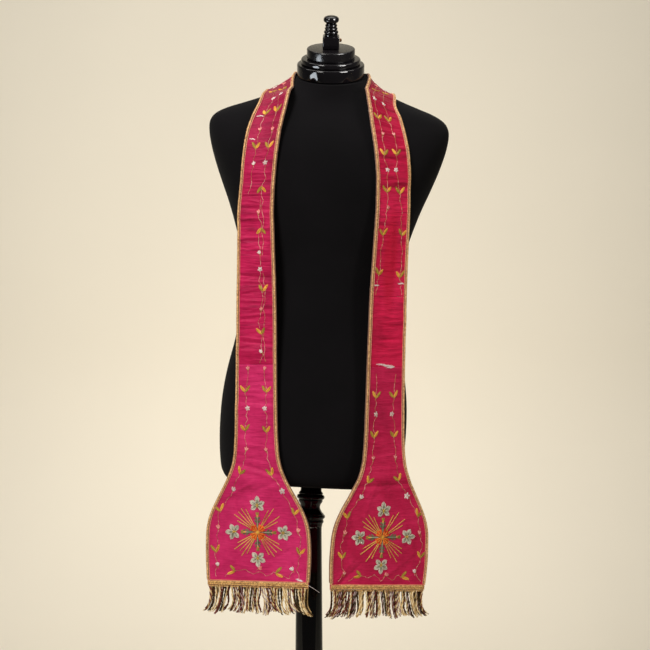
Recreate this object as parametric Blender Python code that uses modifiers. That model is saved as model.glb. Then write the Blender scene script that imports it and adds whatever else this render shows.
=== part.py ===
"""A clerical stole, embroidered band with spade ends and fringe, hanging on a limbless dress form.

Metres, +Z up. The origin is the centre of the stand's foot, on the floor. -Y is the front.
"""
import math

import bmesh
import bpy
import numpy as np
from mathutils import Matrix, Vector
from mathutils.bvhtree import BVHTree

# Driving sizes of the stand and the dress form
GAP = 0.0003
SEAT_HEIGHT = 0.6785
SEAT_ACROSS = 0.0018
TORSO_LEAN = math.radians(3.1)
NECK_TILT = 22.5
NECK_LEVEL = 0.11
NECK_TOP_HEIGHT = 0.7135
NECK_TOP_DEPTH = 0.002
CAP_ACROSS = -0.0025
COLLAR_ACROSS = 0.0025
COLLAR_PLUG = 0.0085
COLLAR_LENGTH = 0.0660
POST_TOP_RADIUS = 0.0223
POST_RADIUS = 0.0240
FOOT_RADIUS = 0.190
FOOT_HEIGHT = 0.034
CAP_RADIUS = 0.059
CAP_HEIGHT = 0.0495
FINIAL_BLOCK = 0.0288
FINIAL_BLOCK_HEIGHT = 0.0215
KNOB_HEIGHT = 0.0350

# Driving sizes of the stole
CLOTH = 0.002
CLEAR_OF_TORSO = 0.0014
BRAID_WIDTH = 0.0068
BRAID_THICKNESS = 0.0010
BRAID_OVERHANG = 0.0006
HEM_BRAID_HEIGHT = 0.0085
FRINGE_HEADING = 0.0040
FRINGE_DROP = 0.0430
STRAND_WIDTH = 0.0017
STRANDS = 40
NECK_SHIFT = -0.007

# Resolution of the solids, and of the skin and grid that the cloth is laid on
TORSO_POINTS = 40
RINGS_PER_SECTION = 1
TURNED_STEPS = 24
ROW_STEP = 0.027
NECK_ROW_STEP = 0.015
NECK_REACH = 0.210
LEAST_ROW = 0.004
SEAM_ROW = 0.001
BAND_COLUMNS = 4
END_COLUMNS = 6
LINE_READINGS = 2400
NEAR = 0.003
SKIN_RINGS = 8
SKIN_POINTS = 160
SUPPORT_STEP = 0.004
SUPPORT_MARGIN = 0.060
SUPPORT_REACH = 0.096
SUPPORT_COLUMNS = 49
SUPPORT_SMOOTHING = 30
LEAST_FACING = 0.4

# Torso sections from the underside up, in the torso's own upright frame.
# Columns: height, half width, front depth, back depth, squareness, forward tilt in degrees.
TORSO_SECTIONS = [
    (0.0000, 0.1390, 0.0900, 0.0880, 2.3, 0.0),
    (0.0040, 0.1460, 0.0965, 0.0945, 2.3, 0.0),
    (0.0120, 0.1520, 0.1015, 0.1000, 2.3, 0.0),
    (0.0255, 0.1572, 0.1050, 0.1045, 2.3, 0.0),
    (0.0615, 0.1615, 0.1080, 0.1090, 2.3, 0.0),
    (0.1065, 0.1628, 0.1095, 0.1120, 2.3, 0.0),
    (0.1515, 0.1608, 0.1090, 0.1110, 2.3, 0.0),
    (0.1965, 0.1545, 0.1075, 0.1040, 2.3, 0.0),
    (0.2415, 0.1450, 0.1045, 0.0940, 2.3, 0.0),
    (0.2915, 0.1368, 0.1005, 0.0860, 2.3, 0.0),
    (0.3415, 0.1345, 0.0985, 0.0830, 2.3, 0.0),
    (0.3915, 0.1400, 0.1015, 0.0860, 2.35, 0.0),
    (0.4365, 0.1520, 0.1080, 0.0920, 2.45, 0.0),
    (0.4815, 0.1670, 0.1140, 0.0990, 2.55, 0.0),
    (0.5215, 0.1830, 0.1150, 0.1030, 2.55, 0.0),
    (0.5565, 0.1960, 0.1100, 0.1040, 2.5, 0.5),
    (0.5885, 0.2055, 0.1010, 0.1030, 2.4, 1.5),
    (0.6135, 0.2095, 0.0905, 0.0985, 2.3, 3.0),
    (0.6295, 0.2075, 0.0825, 0.0935, 2.2, 4.5),
    (0.6415, 0.1985, 0.0765, 0.0885, 2.15, 6.0),
    (0.6520, 0.1800, 0.0715, 0.0840, 2.1, 7.5),
    (0.6616, 0.1540, 0.0675, 0.0795, 2.05, 9.0),
    (0.6714, 0.1270, 0.0640, 0.0750, 2.0, 11.0),
    (0.6814, 0.1030, 0.0615, 0.0705, 2.0, 13.5),
    (0.6930, 0.0810, 0.0600, 0.0665, 2.0, 17.0),
    (0.7055, 0.0680, 0.0588, 0.0630, 2.0, 20.5),
    (0.7135, 0.0612, 0.0580, 0.0605, 2.0, 22.5),
]

# Where the band's middle line rests on the neck and shoulder, in the torso's own frame,
# from the nape to each shoulder.
# Columns: across, depth, height, turn of the width in degrees, clearance of the torso.
LEFT_NECK = [
    (0.0000, 0.0850, 0.7000, 90.0, 0.0014),
    (0.0360, 0.0775, 0.7028, 70.0, 0.0014),
    (0.0660, 0.0520, 0.7056, 52.0, 0.0036),
    (0.0830, 0.0200, 0.7040, 32.0, 0.0066),
    (0.0900, -0.0180, 0.6925, 25.0, 0.0020),
]
RIGHT_NECK = [
    (0.0000, 0.0850, 0.7000, 90.0, 0.0014),
    (0.0360, 0.0775, 0.6982, 72.0, 0.0014),
    (0.0660, 0.0520, 0.6940, 54.0, 0.0016),
    (0.0825, 0.0200, 0.6893, 31.0, 0.0014),
    (0.0895, -0.0180, 0.6800, 24.0, 0.0014),
]

# Where each half hangs down the front, from the shoulder to the hem.
# Columns: x, y, z, turn and droop of the width in degrees.
LEFT_STATIONS = [
    (-0.0575, -0.0560, 1.3419, 26.0, 22.0),
    (-0.0660, -0.0730, 1.3140, 24.0, 15.0),
    (-0.0735, -0.0850, 1.2872, 24.0, 9.0),
    (-0.0797, -0.0950, 1.2522, 24.0, 4.0),
    (-0.0848, -0.1000, 1.2092, 23.0, 1.0),
    (-0.0886, -0.1015, 1.1584, 21.0, 0.0),
    (-0.0887, -0.1020, 1.0991, 19.0, 0.0),
    (-0.0882, -0.1020, 1.0314, 17.0, 0.0),
    (-0.0877, -0.1020, 0.9468, 16.0, 0.0),
    (-0.0881, -0.1020, 0.8622, 16.0, 0.0),
    (-0.0882, -0.1015, 0.7775, 16.0, 0.0),
    (-0.0876, -0.1010, 0.7098, 16.0, 0.0),
    (-0.0862, -0.1005, 0.6421, 15.0, 0.0),
    (-0.0850, -0.1000, 0.5744, 15.0, 0.3),
    (-0.0854, -0.0995, 0.5135, 15.0, 0.5),
]
RIGHT_STATIONS = [
    (0.1225, -0.0560, 1.3419, 26.0, 28.0),
    (0.1290, -0.0730, 1.3140, 25.0, 18.0),
    (0.1340, -0.0850, 1.2872, 25.0, 9.0),
    (0.1397, -0.0950, 1.2522, 25.0, 4.0),
    (0.1428, -0.1000, 1.2092, 26.0, 1.0),
    (0.1430, -0.1010, 1.1584, 26.0, 0.0),
    (0.1399, -0.1010, 1.0991, 26.0, 0.0),
    (0.1360, -0.1005, 1.0314, 26.0, 0.0),
    (0.1327, -0.1000, 0.9468, 26.0, 0.0),
    (0.1303, -0.0990, 0.8622, 26.0, 0.0),
    (0.1283, -0.0985, 0.7775, 26.0, 0.0),
    (0.1271, -0.0980, 0.7098, 25.0, 0.0),
    (0.1237, -0.0975, 0.6421, 25.0, 1.0),
    (0.1205, -0.0970, 0.5744, 25.0, 2.5),
    (0.1164, -0.0965, 0.5067, 25.0, 3.6),
]

# The flat cut of one half. Columns: distance from the hem, half width.
CUT = [
    (0.000, 0.0890),
    (0.025, 0.0908),
    (0.050, 0.0918),
    (0.075, 0.0915),
    (0.095, 0.0900),
    (0.112, 0.0862),
    (0.130, 0.0790),
    (0.150, 0.0685),
    (0.168, 0.0585),
    (0.185, 0.0497),
    (0.202, 0.0434),
    (0.220, 0.0397),
    (0.240, 0.0380),
    (0.300, 0.0362),
    (0.390, 0.0350),
    (0.480, 0.0342),
    (0.570, 0.0326),
    (0.650, 0.0315),
    (1.200, 0.0315),
]

# The largest soft folds in the cloth.
# Columns: half, distance from the hem, across, half length, half width, height, slant in degrees.
FOLDS = [
    ("left", 0.176, 0.006, 0.050, 0.012, 0.0030, 12.0),
    ("left", 0.150, 0.030, 0.045, 0.013, -0.0025, -25.0),
    ("left", 0.300, 0.000, 0.034, 0.012, 0.0020, 3.0),
    ("left", 0.395, 0.002, 0.036, 0.013, 0.0024, 2.0),
    ("left", 0.520, -0.004, 0.032, 0.013, -0.0020, -4.0),
    ("left", 0.628, 0.003, 0.033, 0.012, 0.0022, 3.0),
    ("right", 0.190, 0.000, 0.045, 0.011, 0.0028, 2.0),
    ("right", 0.026, -0.062, 0.030, 0.011, -0.0030, 40.0),
    ("right", 0.052, 0.066, 0.036, 0.013, -0.0022, -50.0),
    ("right", 0.455, 0.002, 0.034, 0.012, 0.0018, -5.0),
    ("right", 0.700, 0.000, 0.032, 0.012, 0.0022, 2.0),
]

# Seams between the pieces of silk: distance from each hem.
LEFT_SEAMS = (0.375, 0.660)
RIGHT_SEAMS = (0.378, 0.497)

# Base colours
CRIMSON = (0.62, 0.03, 0.16)
GOLD = (0.72, 0.50, 0.22)
FRINGE_COLOUR = (0.62, 0.52, 0.30)
BLACK_JERSEY = (0.012, 0.012, 0.014)
BLACK_LACQUER = (0.006, 0.006, 0.007)
BRASS = (0.45, 0.25, 0.12)

TORSO_FRAME = Matrix.Translation((SEAT_ACROSS, 0, SEAT_HEIGHT)) @ Matrix.Rotation(TORSO_LEAN, 4, "Y")


def smooth(knots, rows, at):
    """The smooth curve through the rows, which stand at the knots, read at other places."""
    knots = np.asarray(knots, float)
    rows = np.asarray(rows, float)
    at = np.clip(np.asarray(at, float), knots[0], knots[-1])
    slopes = np.gradient(rows, knots, axis=0)
    i = np.clip(np.searchsorted(knots, at, side="right") - 1, 0, len(knots) - 2)
    span = (knots[i + 1] - knots[i])[:, None]
    t = (at - knots[i])[:, None] / span
    start = (2 * t**3 - 3 * t**2 + 1) * rows[i] + (t**3 - 2 * t**2 + t) * span * slopes[i]
    end = (3 * t**2 - 2 * t**3) * rows[i + 1] + (t**3 - t**2) * span * slopes[i + 1]
    return start + end


def clear_scene():
    for item in list(bpy.data.objects):
        bpy.data.objects.remove(item)


def new_collection(name):
    made = bpy.data.collections.new(name)
    bpy.context.scene.collection.children.link(made)
    return made


def material(name, colour, roughness, metallic=0.0):
    made = bpy.data.materials.new(name)
    made.use_nodes = True
    shader = made.node_tree.nodes["Principled BSDF"]
    shader.inputs["Base Color"].default_value = (*colour, 1.0)
    shader.inputs["Roughness"].default_value = roughness
    shader.inputs["Metallic"].default_value = metallic
    return made


def add_object(name, mesh, collection, finish):
    made = bpy.data.objects.new(name, mesh)
    collection.objects.link(made)
    mesh.materials.append(finish)
    return made


def mesh_of(name, points, faces, is_smooth=True):
    mesh = bpy.data.meshes.new(name)
    mesh.from_pydata([tuple(p) for p in points], [], faces)
    if is_smooth:
        mesh.shade_smooth()
        mesh.set_sharp_from_angle(angle=math.radians(40))
    mesh.update()
    return mesh


def grid_faces(rows, columns):
    """Two triangles for each cell, all split the same way, so that sheets laid on each other match."""
    faces = []
    for i in range(rows - 1):
        for j in range(columns - 1):
            a, b = i * columns + j, (i + 1) * columns + j
            faces += [(a, b, b + 1), (a, b + 1, a + 1)]
    return faces


def section_ring(section, points):
    """One closed ring of the torso, in its own frame: a rounded section with unlike front and back."""
    height, half_width, front, back, square, tilt = section
    forward = math.tan(math.radians(tilt))
    level = math.tan(math.radians(tilt * NECK_LEVEL))
    ring = []
    for k in range(points):
        angle = 2 * math.pi * k / points
        c, s = math.cos(angle), math.sin(angle)
        across = half_width * math.copysign(abs(c) ** (2 / square), c)
        reach = back if s > 0 else front
        depth = reach * math.copysign(abs(s) ** (2 / square), s)
        ring.append((across, depth, height + (depth - NECK_TOP_DEPTH) * forward + across * level))
    return ring


def torso_mesh(name, rings_per_section, points):
    """The loft through the torso's sections, closed flat at the underside and the neck."""
    count = len(TORSO_SECTIONS)
    places = np.linspace(0, count - 1, (count - 1) * rings_per_section + 1)
    sections = smooth(np.arange(count), TORSO_SECTIONS, places)
    vertices = [p for section in sections for p in section_ring(section, points)]
    faces = []
    for i in range(len(sections) - 1):
        for k in range(points):
            n = (k + 1) % points
            faces.append((i * points + k, i * points + n, (i + 1) * points + n, (i + 1) * points + k))
    last = (len(sections) - 1) * points
    faces.append(tuple(reversed(range(points))))
    faces.append(tuple(range(last, last + points)))
    return mesh_of(name, vertices, faces)


def torso_surface():
    """A finer copy of the torso's skin in the world frame, which the cloth is laid on."""
    mesh = torso_mesh("torso_skin", SKIN_RINGS, SKIN_POINTS)
    mesh.transform(TORSO_FRAME)
    tree = BVHTree.FromPolygons(
        [v.co.copy() for v in mesh.vertices], [tuple(f.vertices) for f in mesh.polygons]
    )
    bpy.data.meshes.remove(mesh)
    return tree


def side_stations(neck, front, side):
    """One half's stations from the nape to the hem, in the world frame, as x, y, z, turn, droop."""
    rows = []
    for across, depth, height, turn, clear in neck:
        wanted = TORSO_FRAME @ Vector((side * across + NECK_SHIFT, depth, height))
        place, normal, _, _ = SKIN.find_nearest(wanted)
        a = math.radians(turn if side > 0 else 180 - turn)
        level = Vector((math.cos(a), math.sin(a), 0))
        width = (level - level.dot(normal) * normal).normalized()
        turned_by = math.degrees(math.atan2(width.y, width.x))
        droop = math.degrees(math.asin(-width.z))
        rows.append((*(place + normal * clear), turned_by, droop))
    rows += [(x, y, z, turn if side > 0 else 180 - turn, droop) for x, y, z, turn, droop in front]
    return rows


SKIN = torso_surface()


def middle_line():
    """The stole's middle line from the left hem to the right one, and where it passes the nape."""
    left = side_stations(LEFT_NECK, LEFT_STATIONS, -1)
    right = side_stations(RIGHT_NECK, RIGHT_STATIONS, 1)
    stations = np.array(left[::-1] + right[1:])
    chord = np.linalg.norm(np.diff(stations[:, :3], axis=0), axis=1)
    knots = np.concatenate([[0], np.cumsum(chord)])
    readings = np.linspace(0, knots[-1], LINE_READINGS)
    close = smooth(knots, stations, readings)
    step = np.linalg.norm(np.diff(close[:, :3], axis=0), axis=1)
    along = np.concatenate([[0], np.cumsum(step)])
    nape = float(np.interp(knots[len(left) - 1], readings, along))
    return along, close, nape


ALONG, LINE, NAPE = middle_line()
LENGTH = float(ALONG[-1])


def read_line(s):
    """Middle point and width direction at distances s from the left hem. Past a hem it runs on straight."""
    inside = np.clip(s, 0, LENGTH)
    columns = np.stack([np.interp(inside, ALONG, LINE[:, k]) for k in range(5)], axis=-1)
    centre = columns[..., :3]
    past = (s - inside)[..., None]
    start_run = (LINE[1, :3] - LINE[0, :3]) / (ALONG[1] - ALONG[0])
    end_run = (LINE[-1, :3] - LINE[-2, :3]) / (ALONG[-1] - ALONG[-2])
    centre = centre + np.where(past < 0, past * start_run, past * end_run)
    turn, droop = np.radians(columns[..., 3]), np.radians(columns[..., 4])
    width = np.stack(
        [np.cos(turn) * np.cos(droop), np.sin(turn) * np.cos(droop), -np.sin(droop)], axis=-1
    )
    return centre, width


def unit(vectors):
    return vectors / np.linalg.norm(vectors, axis=-1, keepdims=True)


def from_hem(s):
    """Distance from the nearer hem, measured along the stole."""
    return np.minimum(s, LENGTH - s)


def half_width(s):
    cut = np.array(CUT)
    return smooth(cut[:, 0], cut[:, 1:2], np.ravel(from_hem(s))).reshape(np.shape(s))


def fold_height(s, v):
    """How far the soft folds lift the cloth at distance s along and v across."""
    lift = np.zeros(np.shape(s))
    for half, hem, across, half_length, half_wide, height, slant in FOLDS:
        place = hem if half == "left" else LENGTH - hem
        a = math.radians(slant)
        run, rise = v - across, s - place
        length_wise = (run * math.cos(a) + rise * math.sin(a)) / half_length
        width_wise = (rise * math.cos(a) - run * math.sin(a)) / half_wide
        lift = lift + height * np.exp(-(length_wise**2) - width_wise**2)
    return lift


def plain_cloth(s, v):
    """The cloth without any support: points of its back face, and the way it faces."""
    centre, width = read_line(s)
    ahead, _ = read_line(s + NEAR)
    behind, _ = read_line(s - NEAR)
    out = unit(np.cross(ahead - behind, width))
    return centre + v[..., None] * width + fold_height(s, v)[..., None] * out, out


def support_grid():
    """How far the torso holds the cloth out, on a grid, evened out so that the cloth stays smooth."""
    s = np.arange(-SUPPORT_MARGIN, LENGTH + SUPPORT_MARGIN, SUPPORT_STEP)
    v = np.linspace(-SUPPORT_REACH, SUPPORT_REACH, SUPPORT_COLUMNS)
    edge = half_width(np.clip(s, 0, LENGTH))[:, None] + BRAID_OVERHANG
    places = np.clip(np.repeat(v[None, :], len(s), axis=0), -edge, edge)
    points, out = plain_cloth(np.repeat(s[:, None], len(v), axis=1), places)
    needed = np.zeros(places.shape)
    for index in np.ndindex(*places.shape):
        point = Vector(points[index])
        place, normal, _, _ = SKIN.find_nearest(point)
        short = CLEAR_OF_TORSO - (point - place).dot(normal)
        if short > 0:
            needed[index] = short / max(LEAST_FACING, normal.dot(Vector(out[index])))
    lift = needed.copy()
    for _ in range(SUPPORT_SMOOTHING):
        padded = np.pad(lift, 1, mode="edge")
        along = padded[:-2, 1:-1] + padded[2:, 1:-1]
        across = padded[1:-1, :-2] + padded[1:-1, 2:]
        lift = np.maximum(needed, 0.5 * lift + 0.125 * (along + across))
    return lift


SUPPORT = support_grid()


def support(s, v):
    """The support grid read at any place on the cloth."""
    i = np.clip((s + SUPPORT_MARGIN) / SUPPORT_STEP, 0, SUPPORT.shape[0] - 1.001)
    j = np.clip((v / SUPPORT_REACH + 1) / 2 * (SUPPORT_COLUMNS - 1), 0, SUPPORT_COLUMNS - 1.001)
    i0, j0 = i.astype(int), j.astype(int)
    a, b = i - i0, j - j0
    low = SUPPORT[i0, j0] * (1 - b) + SUPPORT[i0, j0 + 1] * b
    high = SUPPORT[i0 + 1, j0] * (1 - b) + SUPPORT[i0 + 1, j0 + 1] * b
    return low * (1 - a) + high * a


def underside(s, v):
    """Points of the cloth's back face, held clear of the torso."""
    points, out = plain_cloth(s, v)
    return points + support(s, v)[..., None] * out


def face(s, v, lift=0.0):
    """Points of the cloth's front face, or of what lies on it, lifted by that much."""
    under = underside(s, v)
    along = underside(s + NEAR, v) - underside(s - NEAR, v)
    across = underside(s, v + NEAR) - underside(s, v - NEAR)
    return under + unit(np.cross(along, across)) * (CLOTH + lift)


def sheet_object(name, points, thickness, outward, collection, finish):
    """An open sheet of points, rows by columns, given a wall by Solidify."""
    rows, columns = points.shape[:2]
    mesh = mesh_of(name, points.reshape(-1, 3), grid_faces(rows, columns))
    made = add_object(name, mesh, collection, finish)
    wall = made.modifiers.new("wall", "SOLIDIFY")
    wall.thickness = thickness
    wall.offset = 1.0 if outward else -1.0
    wall.use_even_offset = False
    return made


def row_places():
    """Where the rows of every sheet lie: at the seams, at the folds, and evenly between them."""
    braid_top = HEM_BRAID_HEIGHT + GAP / 2
    wanted = [0.0, braid_top, *LEFT_SEAMS, NAPE]
    wanted += [LENGTH - place for place in (0.0, braid_top, *RIGHT_SEAMS)]
    for half, hem, _, _, half_wide, _, _ in FOLDS:
        place = hem if half == "left" else LENGTH - hem
        wanted += [place - 0.8 * half_wide, place, place + 0.8 * half_wide]
    wanted.sort()
    rows = [wanted[0]]
    for place in wanted[1:]:
        near_neck = abs((rows[-1] + place) / 2 - NAPE) < NECK_REACH
        step = NECK_ROW_STEP if near_neck else ROW_STEP
        count = max(1, round((place - rows[-1]) / step))
        if place - rows[-1] > LEAST_ROW:
            rows += list(np.linspace(rows[-1], place, count + 1)[1:])
    return np.array(rows)


ROWS = row_places()


def rows_between(start, end):
    inside = ROWS[(ROWS > start + LEAST_ROW / 2) & (ROWS < end - LEAST_ROW / 2)]
    return np.array([start, *inside, end])


def columns_at(half, count, overhang):
    """Columns of a sheet for each half width: even inside the braids, and one at each edge."""
    inner = (half - BRAID_WIDTH)[:, None] * np.linspace(-1, 1, count + 1)
    edge = half[:, None]
    outer = [edge + overhang] if overhang else []
    return np.concatenate([-e for e in outer] + [-edge, inner, edge] + outer, axis=1)


def silk_piece(name, start, end, count, collection, finish):
    """One piece of the silk ground between two places along the stole."""
    s = rows_between(start, end)
    s = np.concatenate([s[:1], [start + SEAM_ROW], s[1:-1], [end - SEAM_ROW], s[-1:]])
    v = columns_at(half_width(s), count, 0.0)
    points = face(np.repeat(s[:, None], v.shape[1], axis=1), v)
    return sheet_object(name, points, CLOTH, False, collection, finish)


def edge_braid(name, start, end, side, collection, finish):
    """The braid along one long edge, lying on the silk. Side -1 is the edge at the neck."""
    s = rows_between(start, end)
    half = half_width(s)
    v = side * np.stack([half - BRAID_WIDTH, half, half + BRAID_OVERHANG], axis=1)
    if side < 0:
        v = v[:, ::-1]
    points = face(np.repeat(s[:, None], v.shape[1], axis=1), v, GAP)
    return sheet_object(name, points, BRAID_THICKNESS, True, collection, finish)


def hem_braid(name, hem, inward, collection, finish):
    """The braid across a spade end. Inward is +1 at the left hem and -1 at the right one."""
    s = np.array([hem, hem + inward * HEM_BRAID_HEIGHT])
    if inward < 0:
        s = s[::-1]
    v = columns_at(half_width(s), END_COLUMNS, BRAID_OVERHANG)
    points = face(np.repeat(s[:, None], v.shape[1], axis=1), v, GAP)
    return sheet_object(name, points, BRAID_THICKNESS, True, collection, finish)


def strand_sway(share, drop):
    """How far a strand hangs aside, for its place across the hem and its share of the drop."""
    splay = 0.0055 * (2 * share - 1) * drop**2
    wave = 0.0022 * math.sin(9.0 * share + 1.3) * math.sin(math.pi * drop)
    curl = 0.0020 * math.sin(23.0 * share) * drop**2
    return splay + wave + curl


def fringe(name, hem, outward, collection, finish):
    """A row of strands fused into a narrow heading, just below a hem. Outward is -1 at the left hem."""
    half = float(half_width(np.array([hem]))[0])
    pitch = 2 * half / STRANDS
    cuts = []
    for k in range(STRANDS):
        middle = -half + (k + 0.5) * pitch
        cuts += [middle - STRAND_WIDTH / 2, middle + STRAND_WIDTH / 2]
    cuts = np.array([-half] + cuts + [half])
    top = hem + outward * GAP
    low = top + outward * FRINGE_HEADING
    mesh = bmesh.new()

    def line_of(s, lift):
        points = face(np.full(cuts.shape, s), cuts, lift)
        return [mesh.verts.new(p) for p in points]

    back_top, front_top = line_of(top, -CLOTH), line_of(top, 0.0)
    back_low, front_low = line_of(low, -CLOTH), line_of(low, 0.0)
    for j in range(len(cuts) - 1):
        mesh.faces.new((front_top[j], front_top[j + 1], front_low[j + 1], front_low[j]))
        mesh.faces.new((back_low[j], back_low[j + 1], back_top[j + 1], back_top[j]))
        mesh.faces.new((back_top[j], back_top[j + 1], front_top[j + 1], front_top[j]))
        ring = [front_low[j], front_low[j + 1], back_low[j + 1], back_low[j]]
        if j % 2 == 0:
            mesh.faces.new(ring)
            continue
        share = (cuts[j] + half) / (2 * half)
        across = (front_low[j + 1].co - front_low[j].co).normalized()
        start = [v.co.copy() for v in ring]
        length = FRINGE_DROP * (1 + 0.05 * math.sin(31.0 * share) + 0.03 * math.sin(57.0 * share))
        for drop in (0.3, 0.65, 1.0):
            shift = Vector((0, 0, -length * drop)) + across * strand_sway(share, drop)
            lower = [mesh.verts.new(p + shift) for p in start]
            for a in range(4):
                b = (a + 1) % 4
                mesh.faces.new((ring[a], ring[b], lower[b], lower[a]))
            ring = lower
        mesh.faces.new(ring)
    for j in (0, len(cuts) - 1):
        mesh.faces.new((back_top[j], front_top[j], front_low[j], back_low[j]))
    bmesh.ops.recalc_face_normals(mesh, faces=mesh.faces)
    made = bpy.data.meshes.new(name)
    mesh.to_mesh(made)
    mesh.free()
    return add_object(name, made, collection, finish)


def turned(name, profile, collection, finish, steps=TURNED_STEPS):
    """A turned solid from (radius, height) points that run from the top centre down to the bottom centre."""
    mesh = bpy.data.meshes.new(name)
    mesh.from_pydata(
        [(radius, 0, height) for radius, height in profile],
        [(i, i + 1) for i in range(len(profile) - 1)],
        [],
    )
    made = add_object(name, mesh, collection, finish)
    screw = made.modifiers.new("turn", "SCREW")
    screw.steps = screw.render_steps = steps
    screw.use_merge_vertices = True
    screw.merge_threshold = 0.00001
    return made


def rounded(radius, low, high, soft):
    """Profile points of a disc's rim with soft edges, from its top to its bottom."""
    arc = [math.radians(a) for a in (90, 60, 30, 0)]
    top = [(radius - soft + soft * math.cos(a), high - soft + soft * math.sin(a)) for a in arc]
    bottom = [(radius - soft + soft * math.cos(a), low + soft - soft * math.sin(a)) for a in reversed(arc)]
    return top + bottom


def bead(radius, depth, low, high):
    """Profile points of a round bead that stands out by depth, from its top to its bottom."""
    middle, half = (low + high) / 2, (high - low) / 2
    return [
        (radius - depth + depth * math.cos(math.radians(a)), middle + half * math.sin(math.radians(a)))
        for a in (90, 45, 0, -45, -90)
    ]


def neck_frame():
    """The frame of the neck's top face: its centre, tilted forwards and turned back to level."""
    forward = math.tan(math.radians(NECK_TILT))
    level = math.tan(math.radians(NECK_TILT * NECK_LEVEL))
    centre = Matrix.Translation((CAP_ACROSS, NECK_TOP_DEPTH, NECK_TOP_HEIGHT + CAP_ACROSS * level))
    turn = Vector((0, 0, 1)).rotation_difference(Vector((-level, -forward, 1)))
    return TORSO_FRAME @ centre @ turn.to_matrix().to_4x4()


def neck_cap(collection, finish):
    """The stepped lacquered cap on the neck: a wide band, a middle step and a top disc."""
    band_top, step_top = 0.0225, 0.0320
    profile = [(0, CAP_HEIGHT)]
    profile += rounded(0.042, step_top, CAP_HEIGHT, 0.0022)[:-1] + [(0.042, step_top)]
    profile += rounded(0.052, band_top, step_top, 0.0030)[:-1] + [(0.052, band_top)]
    profile += rounded(CAP_RADIUS, 0, band_top, 0.0030) + [(0, 0)]
    made = turned("neck_cap", profile, collection, finish)
    made.matrix_world = neck_frame() @ Matrix.Translation((0, 0, GAP))
    return made


def finial(collection, wood, metal):
    """A square block, its side screw, and the turned knob above it."""
    base = neck_frame() @ Matrix.Translation((0, 0, CAP_HEIGHT + 2 * GAP))
    shape = bmesh.new()
    bmesh.ops.create_cube(shape, size=1.0)
    bmesh.ops.scale(shape, vec=(FINIAL_BLOCK, FINIAL_BLOCK, FINIAL_BLOCK_HEIGHT), verts=shape.verts)
    bmesh.ops.translate(shape, vec=(0, 0, FINIAL_BLOCK_HEIGHT / 2), verts=shape.verts)
    mesh = bpy.data.meshes.new("finial_block")
    shape.to_mesh(mesh)
    shape.free()
    block = add_object("finial_block", mesh, collection, wood)
    block.matrix_world = base
    edge = block.modifiers.new("edge", "BEVEL")
    edge.width = 0.0022
    edge.segments = 2
    profile = [(0, KNOB_HEIGHT), (0.0075, KNOB_HEIGHT - 0.0005), (0.0118, KNOB_HEIGHT - 0.0027)]
    profile += [(0.0134, KNOB_HEIGHT - 0.0060), (0.0128, KNOB_HEIGHT - 0.0095)]
    profile += [(0.0100, KNOB_HEIGHT - 0.0122), (0.0085, KNOB_HEIGHT - 0.0137)]
    profile += bead(0.0105, 0.0020, 0.0155, 0.0203)
    profile += bead(0.0112, 0.0024, 0.0098, 0.0150)
    profile += bead(0.0126, 0.0030, 0.0036, 0.0093)
    profile += [(0.0118, 0.0028), (0.0118, 0.0), (0, 0.0)]
    knob = turned("finial_knob", profile, collection, wood, 20)
    knob.matrix_world = base @ Matrix.Translation((0, 0, FINIAL_BLOCK_HEIGHT + GAP))
    head = [(0, 0.0040), (0.0020, 0.0036), (0.0032, 0.0020), (0.0032, 0.0), (0, 0.0)]
    screw = turned("finial_screw", head, collection, metal, 12)
    side = Matrix.Translation((FINIAL_BLOCK / 2 + GAP, 0, FINIAL_BLOCK_HEIGHT - 0.0075))
    screw.matrix_world = base @ side @ Matrix.Rotation(math.radians(90), 4, "Y")
    return [block, knob, screw]


def post_collar(collection, finish):
    """The turned collar under the torso: a plug, a bead, a hollow and a flare. It leans with the torso."""
    profile = [(0, COLLAR_PLUG), (0.0179, COLLAR_PLUG), (0.0185, -0.0040), (0.0215, -0.0082)]
    profile += bead(0.0244, 0.0040, -0.0190, -0.0105)
    profile += [(0.0212, -0.0200), (0.0212, -0.0225), (0.0184, -0.0268), (0.0174, -0.0310)]
    profile += [(0.0180, -0.0350), (0.0208, -0.0400), (0.0248, -0.0440)]
    profile += bead(0.0271, 0.0024, -0.0515, -0.0450)
    profile += [(0.0244, -0.0530)] + bead(0.0250, 0.0016, -0.0600, -0.0540)
    profile += [(0.0230, -0.0620), (0.0226, -COLLAR_LENGTH), (0, -COLLAR_LENGTH)]
    made = turned("post_collar", profile, collection, finish)
    made.matrix_world = TORSO_FRAME @ Matrix.Translation((COLLAR_ACROSS, 0, -COLLAR_PLUG - GAP))
    return made


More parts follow.
